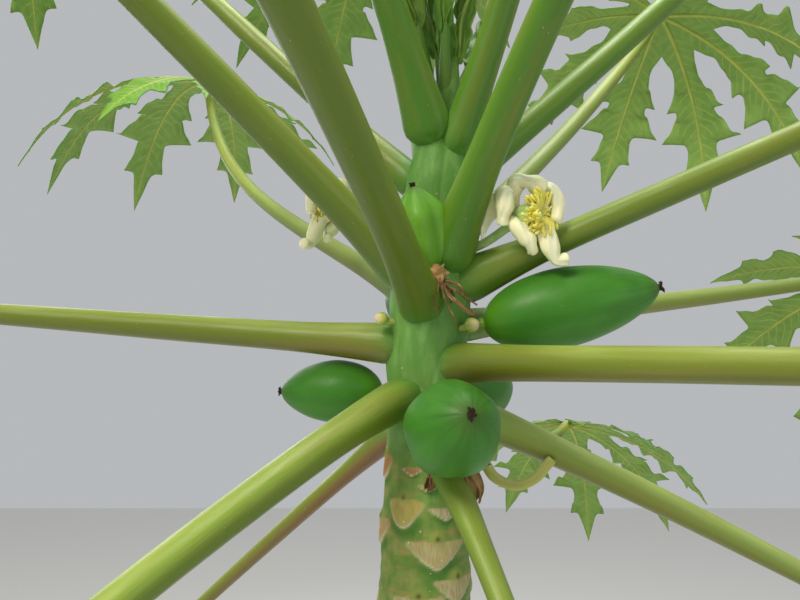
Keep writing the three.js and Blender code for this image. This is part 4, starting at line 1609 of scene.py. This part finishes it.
@dataclass
class Blossom:
    """Waxy cream flowers with rolled petals, dried ones, buds and the bent stalk of a lost flower."""

    trunk: Trunk
    ovary_width: float = 23.0
    ovary_length: float = 30.0
    ovary_root: float = 3.75
    fans: int = 5
    threads: int = 34
    stem_root: float = 0.8
    stem_sag: float = 0.06
    stem_rings: int = 26
    stem_sides: int = 16
    # Each rolled petal of the photo's flower: across, up and forward of its middle, and the roll's radius
    petal_knots: tuple[Knots, ...] = (
        ((0, 6, 2, 4), (-3, 19, 4, 7), (0, 31, 8, 8.5),
         (8, 31, 12, 6), (15, 29, 12, 9), (24, 25, 10, 7)),
        ((3, 6, 0, 3.5), (16, 18, -6, 7), (28, 26, -2, 8.5),
         (34, 15, 4, 8), (34, 3, 8, 6.5), (31, -4, 10, 5.5)),
        ((3, -3, 2, 3.5), (15, -6, 8, 6), (23, -13, 12, 9),
         (27, -26, 14, 8.5), (32, -36, 13, 5.5), (42, -35, 10, 7.5)),
        ((-2, -2, 4, 3.5), (-3, -4, 9, 7), (2, -11, 13, 8.5),
         (8, -19, 14, 8), (11, -25, 13, 5.5), (13, -29, 9, 5.5)),
        ((-3, 4, 2, 4), (-8, 17, 8, 8), (-12, 19, 13, 9),
         (-12, 9, 16, 8.5), (-13, 0, 14, 6), (-13, -6, 11, 6)),
    )
    # Each dry strip: the same for its line, then its width and how dark it is
    dried_strips: tuple[tuple[Knots, float, float], ...] = (
        (((-21, 19, 3), (-17, 15, 5), (-13, 9, 5), (-11, 5, 4)), 13, 0.0),
        (((-9, 20, 2), (-12, 16, 4), (-13, 10, 3), (-12, 6, 2)), 10, 0.1),
        (((-14, 10, 8), (-15, 0, 13), (-17, -12, 17), (-13, -17, 16)), 4.2, 0.45),
        (((-12, 9, 5), (-9, -3, 8), (-5, -14, 9), (1, -27, 8)), 3.4, 0.25),
        (((-10, 8, 4), (-2, 2, 7), (7, -5, 8), (19, -12, 6)), 4.2, 0.55),
        (((-10, 7, 5), (-4, -4, 9), (5, -13, 10), (15, -20, 7), (18, -16, 5)), 4.8, 0.35),
        (((-11, 7, 3), (-6, 1, 4), (-2, -6, 4), (-3, -10, 4)), 6.5, 0.75),
        (((-9, 9, 3), (2, 5, 5), (8, -2, 6), (9, -7, 5)), 4.2, 0.6),
    )
    dried_bracts: tuple[tuple[Knots, float, float], ...] = (
        (((-4, 10, 2), (2, 0, 7), (7, -11, 6), (6, -21, 4)), 12, 0.0),
        (((-2, 9, 4), (6, 2, 10), (11, -8, 11), (9, -19, 9)), 10, 0.1),
        (((-8, 8, 0), (-3, 3, 7), (2, -6, 12), (4, -15, 12)), 6, 0.6),
        (((2, 9, 0), (9, 9, 4), (15, 11, 5), (19, 12, 4)), 5, 0.8),
        (((-27, 10, -5), (-31, 2, -2), (-34, -5, -2), (-35, -9, -4)), 10, 0.85),
        (((-26, 8, -5), (-28, 1, -1), (-29, -6, -1), (-32, -12, -4)), 6, 0.7),
    )
    bent_width: float = 9.2
    bent_route: tuple[Triple, ...] = (
        (58, 0, 1322),
        (80, -4, 1310),
        (92, -6, 1294),
        (110, -6, 1287),
        (128, -6, 1293),
        (143, -6, 1310),
    )

    def stem(self, start: Array, end: Array, width: float) -> Shape:
        """Returns a sagging stalk between two places, a little thicker at its ends."""
        middle = (start + end) / 2
        middle[2] -= self.stem_sag * float(np.linalg.norm(end - start))
        t = np.linspace(0, 1, self.stem_rings)
        half = width / 2 * (1 + 0.3 * hump(t - 1, 0.14) + 0.12 * hump(t, 0.2))
        path = through(np.array([start, middle, end]), self.stem_rings)
        return sweep(path, np.array([0.0, 0, 1]), half, half, self.stem_sides)

    def petal(self, knots: Knots, turn: Array, size: float) -> Shape:
        """Builds a petal rolled up into a thick waxy tube, with a narrower curl at its end.

        Args:
            knots: places along the roll as seen in the photo, across, up and forward, and its radius at each.
            turn: matrix from the photo's axes to the flower's own.
            size: scale of the flower.

        Returns:
            The closed surface, with the value fold.
        """
        rows, sides = 72, 26
        path = from_photo(knots, rows) @ turn.T * size
        t = np.linspace(0, 1, rows)
        rounded = np.sqrt(np.clip(1 - np.clip((t - 0.94) / 0.06, 0, 0.985) ** 2, 0, 1))
        half = through(np.array(knots, dtype=float), rows)[:, 3] * size * rounded
        around = turns(sides)
        past = wrapped(around - 1.2 - 2.6 * t[:, None], 2 * math.pi)
        seam = 1 - 0.2 * hump(past, 0.22) + 0.09 * hump(past - 0.42, 0.3)
        seam = seam * (1 + 0.03 * np.sin(2 * around + 9 * t[:, None])) * (1 + 0.025 * np.sin(t * 23))[:, None]
        shape = sweep(path, turn @ np.array([0.3, 1.0, 0.2]), half, half * 0.9, sides, seam)
        fold = hump(past, 0.3).ravel()
        root = np.repeat(1 - smooth_step(0.0, 0.3, t), sides)
        shape.values["fold"] = np.concatenate([np.maximum(fold, root), [1, 0]])
        return shape

    def flower(self, flower: Flower, tubes: TubeTree) -> Shape:
        """Builds an open flower.

        Args:
            flower: its place and scale.
            tubes: maker of the stigmas.

        Returns:
            The closed surfaces: finish 0 for petals, 1 for green parts and 2 for the stigmas.
        """
        size = flower.size
        seen = facing(*FLOWERS[0].faces).T
        shapes = [self.petal(knots, seen, size).painted(0) for knots in self.petal_knots]
        shapes.append(self.ovary(size).painted(1))
        for k in range(5):
            shapes.append(self.sepal(k / 5 * 2 * math.pi + 0.8, size).painted(1))
        shapes.append(self.bract(seen, size).painted(0))
        shapes.append(self.stigmas(size, tubes).painted(2))
        head = join(shapes).placed(facing(*flower.faces), np.array(flower.centre, dtype=float))
        root = self.trunk.at(flower.azimuth, flower.height, self.stem_root)
        inside = np.array(flower.centre) + facing(*flower.faces)[:, 0] * 1.5
        return join([head, self.stem(root, inside, 8).painted(1)])

    def bract(self, turn: Array, size: float) -> Shape:
        """Returns the pale pointed bract behind the flower, from the photo's axes turned to its own."""
        rows, columns = 30, 9
        t, u = np.linspace(0, 1, rows), np.linspace(-1, 1, columns)
        line = from_photo(((-8, 12, 6), (-19, 14, 3), (-25, 2, 2), (-30, -17, 2)), rows) @ turn.T * size
        width = 8.5 * size * np.interp(t, [0, 0.3, 0.6, 1], [0.5, 1.0, 0.9, 0.04])[:, None]
        across = unit(np.cross(np.gradient(line, axis=0), turn @ np.array([0.0, -1, 0])))
        normal = unit(np.cross(across, np.gradient(line, axis=0)))
        sheet = ribbon(line, across, width * u, normal, 0.25 * width * u**2)
        return thickened(sheet, np.full((rows, columns), 1.1), {})

    def ovary(self, size: float) -> Shape:
        """Returns the green ovary in the middle of a flower, with five soft ridges."""
        rings, sides = 40, 40
        t = eased(rings, 0.01)
        half = self.ovary_width / 2 * size * np.sin(math.pi * t**0.92) ** 0.6
        path = along_x((self.ovary_length * t - self.ovary_root) * size)
        ridges = 1 + 0.07 * np.cos(5 * turns(sides) + 0.3) * np.ones((rings, 1))
        return sweep(path, SIDEWAYS, half, half, sides, ridges)

    def sepal(self, angle: float, size: float) -> Shape:
        """Returns a small pointed green sepal at the foot of the petals."""
        rows, columns = 14, 7
        t, u = np.linspace(0, 1, rows), np.linspace(-1, 1, columns)
        out = np.array([0, math.cos(angle), math.sin(angle)])
        across = np.array([0, -math.sin(angle), math.cos(angle)])
        width = 3.6 * size * np.sin(math.pi * (0.25 + 0.74 * t)) + 0.2
        line = along_x((-3 + 9 * t) * size) + out * (5 + 6 * t - 2 * t**2)[:, None] * size
        sheet = ribbon(line, across, width[:, None] * u, out, -0.8 * u**2)
        return thickened(sheet, np.ones((rows, columns)), {})

    def stigmas(self, size: float, tubes: TubeTree) -> Shape:
        """Returns five fans of frilly stigma threads that spread over the ovary's tip."""
        rng = np.random.default_rng(int(size * 100))
        lines, radii = [], []
        for fan in range(self.fans):
            middle = fan / self.fans * 2 * math.pi + 0.7
            for thread in range(self.threads):
                turn = middle + rng.uniform(-0.6, 0.6)
                out = np.array([0, math.cos(turn), math.sin(turn)])
                side = np.array([0, -math.sin(turn), math.cos(turn)])
                reach = rng.uniform(6, 22) * size
                t = np.linspace(0, 1, 9)
                rise = rng.uniform(-0.15, 1.0)
                line = (
                    np.array([22.0 * size, 0, 0])
                    + np.outer(np.sin(t * 1.6) * reach * rise * 0.6 - 3 * t**3, [1.0, 0, 0])
                    + np.outer(1.5 + t * reach * 0.95, out)
                    + np.outer(2.2 * np.sin(t * rng.uniform(5, 9) + thread) * t, side)
                )
                lines.append(line)
                radii.append((1.35 - 0.45 * t + 0.5 * hump(t - 0.93, 0.12)) * size)
        return tubes.along(lines, radii, 6)

    def dried(self, dried: DriedFlower) -> Shape:
        """Builds a dried flower: a tan papery cup and thin shrivelled petals that hang and spread from it.

        Args:
            dried: its place and scale.

        Returns:
            The closed surfaces, with the value dark.
        """
        centre = np.array(dried.centre, dtype=float)
        root = self.trunk.at(dried.azimuth, dried.height, self.stem_root)
        top = centre + np.array([-16.0, -4, 16]) * dried.size
        shapes = [self.stem(root, top - [0, 0, 2], 5)]
        rows, columns = 46, 9
        t, u = np.linspace(0, 1, rows), np.linspace(-1, 1, columns)
        strips = self.dried_bracts if dried.bracts else self.dried_strips
        for k, (knots, width, dark) in enumerate(strips):
            line = centre + from_photo(knots, rows)
            along = unit(np.gradient(line, axis=0))
            lean = np.array([0.5 * math.sin(k * 2.1), -1.0, 0.3])
            across = unit(np.cross(along, lean))
            normal = np.cross(across, along)
            turn = 0.5 * np.sin(t * 5 + k)[:, None]
            rolled = across * np.cos(turn) + normal * np.sin(turn)
            normal = normal * np.cos(turn) - across * np.sin(turn)
            half = (width / 2 * (0.75 + 0.35 * np.sin(t * 4 + k)) * (1 - 0.75 * t**3))[:, None]
            crease = 0.55 * half * np.abs(u) * (1 + 0.4 * np.sin(t * 9 + k))[:, None]
            crumple = 0.3 * np.sin(u * 7 + t[:, None] * 19 + k)
            sheet = ribbon(line, rolled, half * u, normal, crease + crumple)
            limb = [u * half, np.full((rows, columns), k * 20.0), t[:, None] * 40 + 0 * u]
            values = {
                "dark": np.clip(dark + 0.3 * np.abs(u) + 0.25 * t[:, None], 0, 1),
                "limb": np.stack(limb, axis=-1),
            }
            shapes.append(thickened(sheet, np.full((rows, columns), 0.7), values))
        return join(shapes)

    def bud(self, bud: Bud) -> Shape:
        """Returns a round bud with five soft seams, on its short stalk."""
        centre = np.array(bud.centre, dtype=float)
        root = self.trunk.axis(bud.centre[2] - 4) * 0.6 + centre * 0.4
        rings, sides = 30, 30
        t = eased(rings, 0.01)
        path = centre + np.outer((2 * t - 1) * 1.1 * bud.radius, unit(centre - root))
        half = bud.radius * np.sin(math.pi * t) ** 0.55
        seams = 1 - 0.05 * np.abs(np.cos(2.5 * turns(sides))) ** 8 * np.ones((rings, 1))
        ball = sweep(path, np.array([1.0, 0, 0]), half, half, sides, seams)
        ball = ball.valued({"blush": np.repeat(smooth_step(0.6, 0.95, t), sides)})
        return join([ball, self.stem(root, centre, bud.radius * 0.9)])

    def bent_stalk(self) -> Shape:
        """Returns the bent stalk of a lost flower, with a dry broken end."""
        rings, sides = 90, 24
        path = through(np.array(self.bent_route, dtype=float), rings)
        t = np.linspace(0, 1, rings)
        half = self.bent_width / 2 * (1.12 - 0.2 * t + 0.1 * hump(t - 0.97, 0.03))
        shape = sweep(path, SIDEWAYS, half, half, sides)
        middle = np.concatenate([np.repeat(path[:, 2], sides), path[[0, -1], 2]])
        # top paints the upper side cream: a painted highlight where the light falls.
        shape.values["top"] = smooth_step(0, 0.9 * self.bent_width / 2, shape.corners[:, 2] - middle)
        return shape


# Palette


SHEATH = "#5e953f"
SHEATH_BLOOM = "#8bb565"


@dataclass
class Palette:
    """The finishes of the tree, each made once."""

    def __post_init__(self) -> None:
        """Makes every finish."""
        # Soft green stem skin, grey-beige lower down, with tan leaf scars and a waxy blue-green crown:
        # dull, finely cracked lengthwise, with pale sap dots.
        self.bark = Skin(
            "green stem bark",
            "#7e9643",
            (
                Layer("#a1985a", grain=(16, 16, 8), low=0.44, high=0.64, cover=0.65),
                Layer("#4a7f27", grain=(13, 13, 20), low=0.44, high=0.66, cover=0.75),
                Layer("#b1885a", grain=(26, 26, 5), low=0.56, high=0.7, cover=0.5),
                Layer("#9a917b", "low", grain=(30, 30, 60), low=0.2, high=0.5, cover=0.8),
                Layer("#6e6650", "low", grain=(5, 5, 40), low=0.54, high=0.7, cover=0.55),
                Layer("#b5ad98", "low", grain=(24, 24, 12), low=0.54, high=0.68, cover=0.6),
                Layer("#64903b", "bloom", cover=0.85),
                Layer("#407824", "bloom", grain=(15, 15, 34), low=0.5, high=0.68, cover=0.5),
                Layer("#87b06b", "bloom", grain=(8, 8, 30), low=0.48, high=0.66, cover=0.55),
                Layer(SHEATH, "axil", cover=0.8),
                Layer(SHEATH_BLOOM, "axil", grain=(7, 7, 22), low=0.48, high=0.7, cover=0.5),
                Layer("#3a741f", "shade", cover=0.85),
                Layer("#baaa5c", "scar", cover=0.95),
                Layer("#a6954b", "scar", grain=(5, 5, 7), low=0.45, high=0.65, cover=0.5),
                Layer("#b3a483", "old", cover=0.95),
                Layer("#d6cdb5", "old", grain=(1.5, 1.5, 14), low=0.5, high=0.62, cover=0.6),
                Layer("#7a6a4e", "old", grain=(1.3, 1.3, 10), low=0.54, high=0.68, cover=0.7),
                Layer("#aa5f3c", "flush", cover=0.75),
                Layer("#8f9c46", "bud_green", cover=0.85),
                Layer("#d8d2b6", "rim", cover=0.85),
                Layer("#33281a", "pit", cover=0.95),
            ),
            roughness=0.6, relief=(2.2, 2.2, 5.5), depth=0.55,
        ).make()
        # Living leaf stalk under a thin wax: smooth and satin, with a painted highlight along its upper side
        # and painted shade along its underside.
        self.stalks = {
            Bloom.GREEN: self.stalk("leaf stalk, green wax skin", "#6f8624", "#95ad46", "#556d18", "#568621"),
            Bloom.PALE: self.stalk("leaf stalk, pale wax skin", "#82973a", "#aec370", "#6e7523", "#729b3a"),
            Bloom.RUSTY: self.stalk(
                "leaf stalk, rust-flushed skin", "#778824", "#9cad46", "#616a18", "#668624"
            ),
            Bloom.VIVID: self.stalk(
                "leaf stalk, vivid inner skin", "#5f8b1e", "#8aaf3d", "#487615", "#468319"
            ),
        }
        # Upper side of a papaya leaf: satin, mid green, painted a lighter green as sunlight on blades in the
        # sun, lighter near the ribs and lit through a little.
        self.blade_top = Skin(
            "leaf blade, upper side",
            "#3f7d22",
            (
                Layer("#326b1b", grain=(34, 34, 34), low=0.4, high=0.64, cover=0.6),
                # A lighter green that varies from leaf to leaf, and painted sunlight on blades in the sun.
                Layer("#6ba537", "tone_and_sun_tint", cover=0.6),
                Layer("#a9bf57", "rib", cover=0.3),
            ),
            roughness=0.42, relief=(3.0, 3.0, 3.0), depth=0.5, glow=0.25, glow_reach=1.5,
        ).make()
        # Underside of a leaf: duller and paler, with a fine net of veins.
        self.blade_under = Skin(
            "leaf blade, underside",
            "#739a45",
            (
                Layer("#83aa50", grain=(24, 24, 24), low=0.4, high=0.62, cover=0.7),
                Layer("#a9bc66", "rib", cover=0.35),
            ),
            roughness=0.62, relief=(2.4, 2.4, 2.4), depth=0.5, glow=0.25, glow_reach=1.5,
        ).make()
        # Raised ribs and veins: smooth yellow-green, as the stalk's own skin.
        self.rib = Skin(
            "leaf rib",
            "#adba5a",
            (Layer("#98ad4e", grain=(20, 20, 20), low=0.45, high=0.6, cover=0.7),),
            roughness=0.45, unrolled=False, relief=(1.5, 1.5, 1.5), depth=0.1, glow=0.15,
        ).make()
        self.young_stalk = self.stalk("young leaf stalk", "#5d8a35", "#8fae5c", "#4f7f30", "#7c8a3c")
        # Soft unopened leaf: fresh yellow-green, brownish on the oldest ones, with paler ribs.
        self.young = Skin(
            "young leaf, soft and folded",
            "#6f9a35",
            (
                Layer("#4c7f28", grain=(7, 7, 20), low=0.42, high=0.62, cover=0.8),
                Layer("#7c6a38", "brown", cover=0.85),
                Layer("#b7c770", "rib", cover=0.75),
            ),
            roughness=0.5, relief=(1.6, 1.6, 4.0), depth=0.35, glow=0.25,
        ).make()
        # Unripe fruit: mid green, matt-satin, with a painted sheen on its upper side, lighter at its stalk,
        # and painted shade in its grooves.
        self.fruit = Skin(
            "unripe papaya skin",
            "#3a7e19",
            (
                Layer("#327113", grain=(24, 24, 40), low=0.4, high=0.64, cover=0.7),
                Layer("#6da528", "young", cover=0.9),
                # Painted sheen on the upper side.
                Layer("#62a243", "up", grain=(20, 20, 34), low=0.3, high=0.66, cover=0.42),
                Layer("#5b981d", "base", cover=0.75),
                # Painted shade in the grooves.
                Layer("#25591b", "groove", cover=0.65),
                Layer("#8fb866", grain=(1.7, 1.7, 1.7), low=0.7, high=0.76, cover=0.5),
                Layer("#47601f", "tip", cover=0.6),
            ),
            roughness=0.47, relief=(1.6, 1.6, 2.4), depth=0.12, glow=0.06, coat=0.06,
        ).make()
        # Dead flower at the fruit's tip: dry, dark brown and papery.
        self.star = Skin(
            "dried flower tip",
            "#2b1d12",
            (Layer("#6b5233", grain=(2, 2, 5), low=0.52, high=0.68, cover=0.7),),
            roughness=0.85, relief=(1.2, 1.2, 3.0), depth=0.6,
        ).make()
        # Fruit and flower stalks: thin green skin, satin.
        self.stalklet = Skin(
            "fruit stalk",
            "#8fae45",
            (Layer("#6c9436", grain=(4, 4, 12), low=0.42, high=0.62, cover=0.8),),
            roughness=0.48, glow=0.1,
        ).make()
        # Thick waxy petal: cream, greener in its folds, softly lit through.
        self.petal = Skin(
            "waxy cream petal",
            "#f7f3cf",
            (
                Layer("#eaecae", grain=(6, 6, 22), low=0.48, high=0.7, cover=0.6),
                Layer("#fcf8da", "fold", cover=0.6),
                Layer("#e2e6a4", grain=(1.2, 1.2, 14), low=0.56, high=0.72, cover=0.35),
            ),
            roughness=0.38, relief=(1.5, 1.5, 8.0), depth=0.12, glow=0.5, glow_reach=3.0, sheen=0.1,
        ).make()
        # Ovary and sepals: pale green wax.
        self.ovary = Skin(
            "pale green ovary",
            "#b9d190",
            (Layer("#98bd68", grain=(5, 5, 14), low=0.42, high=0.62, cover=0.8),),
            roughness=0.42, glow=0.15,
        ).make()
        # Stigma threads: soft lemon yellow.
        self.stigma = Skin(
            "lemon stigma",
            "#f3eb78",
            (Layer("#e6da48", grain=(3, 3, 3), low=0.45, high=0.65, cover=0.8),),
            roughness=0.55, unrolled=False, glow=0.3,
        ).make()
        # Dried blossom: tan and papery where it hangs from the stalk, dark brown at its ends.
        self.dried = Skin(
            "dried papery flower",
            "#cda56c",
            (
                Layer("#a07745", grain=(3, 3, 12), low=0.48, high=0.66, cover=0.7),
                Layer("#452a17", "dark", cover=0.85),
                Layer("#dcb981", grain=(1.5, 1.5, 9), low=0.6, high=0.7, cover=0.6),
            ),
            roughness=0.82, relief=(1.2, 1.2, 6.0), depth=0.5,
        ).make()
        # Bud: tight yellow-green skin, cream and pinkish where the petals will open.
        self.bud = Skin(
            "flower bud",
            "#c6cc6e",
            (
                Layer("#a9b954", grain=(4, 4, 9), low=0.42, high=0.62, cover=0.8),
                Layer("#e6cfa6", "blush", cover=0.85),
            ),
            roughness=0.45, glow=0.2,
        ).make()
        # Stalk of a lost flower: waxy, yellowed and cream where the light falls on it.
        self.bent = self.stalk("bent flower stalk, yellowed", "#b3b45a", "#e0dc9a", "#a5a04c", "#9fae56")
        # Dried sap: small cream drops.
        self.sap = Skin(
            "dried sap",
            "#e6ddb4",
            (Layer("#cdbf8e", grain=(2, 2, 2), low=0.4, high=0.6, cover=0.6),),
            roughness=0.6, unrolled=False,
        ).make()

    def stalk(self, name: str, side: str, top: str, below: str, foot: str) -> bpy.types.Material:
        """Returns a leaf stalk's finish from its colours at the side, on top (a painted highlight), below
        (painted shade) and at the foot.
        """
        return Skin(
            name,
            side,
            (
                # Painted shade along the underside, then a painted highlight and painted sheen streaks along
                # the top.
                Layer(below, "below", cover=0.9),
                Layer(top, "top", cover=0.75),
                Layer("#c3d581", "top", grain=(9, 9, 70), low=0.45, high=0.7, cover=0.3),
                Layer("#8b8238", grain=(15, 15, 150), low=0.46, high=0.72, cover=0.45),
                Layer("#9a7f45", grain=(2.4, 2.4, 50), low=0.62, high=0.76, cover=0.18),
                # At the foot a darker green, partly the stalk's own, partly painted shade where the stalk
                # meets the trunk.
                Layer(foot, "foot", cover=0.7),
                Layer(SHEATH, "seam", cover=0.9),
                Layer(SHEATH_BLOOM, "seam", grain=(7, 7, 22), low=0.48, high=0.7, cover=0.5),
                Layer("#8a5233", "rust", cover=0.85),
                Layer("#c3c65a", "end", cover=0.8),
                Layer("#dedcaf", grain=(1.6, 1.6, 2.2), low=0.73, high=0.77, cover=0.7),
            ),
            roughness=0.4, relief=(2.0, 2.0, 24.0), depth=0.3, glow=0.08, coat=0.15,
        ).make()


# Studio


@dataclass
class Studio:
    """Pale floor, soft lights and the camera of the photo."""

    eye: Triple = (0.008, -0.742, 1.400)
    pitch: float = 94.0
    lens: float = 36.9
    floor_size: float = 14.0

    def build(self) -> None:
        """Adds the floor, the world, the lights and the camera."""
        scene = bpy.context.scene
        mesh = bpy.data.meshes.new("floor")
        half = self.floor_size / 2
        corners = [(-half, -half, 0), (half, -half, 0), (half, half, 0), (-half, half, 0)]
        mesh.from_pydata(corners, [], [(0, 1, 2, 3)])
        floor = bpy.data.objects.new("floor", mesh)
        scene.collection.objects.link(floor)
        pale = bpy.data.materials.new("pale floor")
        pale.use_nodes = True
        surface = pale.node_tree.nodes["Principled BSDF"]
        surface.inputs["Base Color"].default_value = linear("#e4e3df")
        surface.inputs["Roughness"].default_value = 0.9
        mesh.materials.append(pale)
        world = bpy.data.worlds.new("soft sky")
        world.use_nodes = True
        world.node_tree.nodes["Background"].inputs["Color"].default_value = linear("#eef1f4")
        world.node_tree.nodes["Background"].inputs["Strength"].default_value = 0.55
        scene.world = world
        self.light("key", (-1.6, -2.0, 3.6), (0, 0, 1.4), 1.3, 105, "#fff6e4")
        self.light("top", (0.3, 0.4, 4.4), (0, 0, 1.5), 1.6, 62, "#fffdf6")
        self.light("fill", (2.6, -2.4, 1.6), (0, 0, 1.3), 1.8, 16, "#f2f6ff")
        self.light("back", (-1.6, 2.8, 2.6), (0, 0, 1.4), 1.8, 26, "#fbfbff")
        lens = bpy.data.cameras.new("camera")
        lens.lens, lens.sensor_width, lens.sensor_fit = self.lens, 36.0, "HORIZONTAL"
        lens.clip_start = 0.02
        camera = bpy.data.objects.new("camera", lens)
        camera.location = self.eye
        camera.rotation_euler = (math.radians(self.pitch), 0, 0)
        scene.collection.objects.link(camera)
        scene.camera = camera
        scene.view_settings.view_transform = "Standard"

    def light(self, name: str, place: Triple, goal: Triple, size: float, power: float, colour: str) -> None:
        """Adds a square soft light.

        Args:
            name: its name.
            place: where it stands, in metres.
            goal: where it points.
            size: length of its side in metres.
            power: its power in watts.
            colour: its sRGB hex colour.
        """
        lamp = bpy.data.lights.new(name, "AREA")
        lamp.shape, lamp.size, lamp.energy, lamp.color = "SQUARE", size, power, linear(colour)[:3]
        holder = bpy.data.objects.new(name, lamp)
        holder.location = place
        holder.rotation_euler = (Vector(goal) - Vector(place)).to_track_quat("-Z", "Y").to_euler()
        bpy.context.scene.collection.objects.link(holder)


def main() -> None:
    """Builds the tree in its frame."""
    logging.basicConfig(level=logging.INFO, format="%(message)s")
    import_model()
    Studio().build()
    palette, tubes = Palette(), TubeTree()
    trunk = Trunk()
    feet = [(leaf.azimuth(i), leaf.height(i), leaf.foot, leaf.rise_foot) for i, leaf in enumerate(LEAVES)]
    bark = trunk.shape(feet)
    add_piece("trunk_skin", bark, [palette.bark], "trunk")
    Sap(palette.sap).build(bark)
    stalks, blade = LeafStalks(trunk), Blade()
    finishes = [palette.blade_top, palette.blade_under, palette.rib]
    for i, leaf in enumerate(LEAVES):
        number = f"{i + 1:02d}"
        skin = [palette.stalks[leaf.skin]]
        add_piece(f"stalk_{number}", stalks.shape(leaf, i), skin, f"leaf_stalk_{number}")
        centre = stalks.blade_centre(leaf, stalks.line(leaf, i))
        sheet = blade.shape(leaf, i, tubes).placed(facing(leaf.azimuth(i), leaf.pitch), centre)
        add_piece(f"blade_{number}", sheet, finishes, f"leaf_blade_{number}")
    heart = Heart(trunk)
    finishes = [palette.young_stalk, palette.young]
    for index, young in enumerate(YOUNG_LEAVES, len(LEAVES)):
        shape = heart.shape(young, index)
        add_piece(f"folded_leaf_{index + 1}", shape, finishes, f"young_leaf_{index + 1}")
    cluster = FruitCluster(trunk)
    finishes = [palette.fruit, palette.star, palette.stalklet]
    for fruit in FRUITS:
        add_piece(f"{fruit.name}_skin", cluster.shape(fruit), finishes, fruit.name)
    blossom = Blossom(trunk)
    finishes = [palette.petal, palette.ovary, palette.stigma]
    for flower in FLOWERS:
        add_piece(f"{flower.name}_open", blossom.flower(flower, tubes), finishes, flower.name)
    for dried in DRIED_FLOWERS:
        add_piece(f"{dried.name}_husk", blossom.dried(dried), [palette.dried], dried.name)
    for bud in BUDS:
        add_piece(f"{bud.name}_ball", blossom.bud(bud), [palette.bud], bud.name)
    add_piece("bent_stalk", blossom.bent_stalk(), [palette.bent], "bent_flower_stalk")


if __name__ == "__main__":
    main()
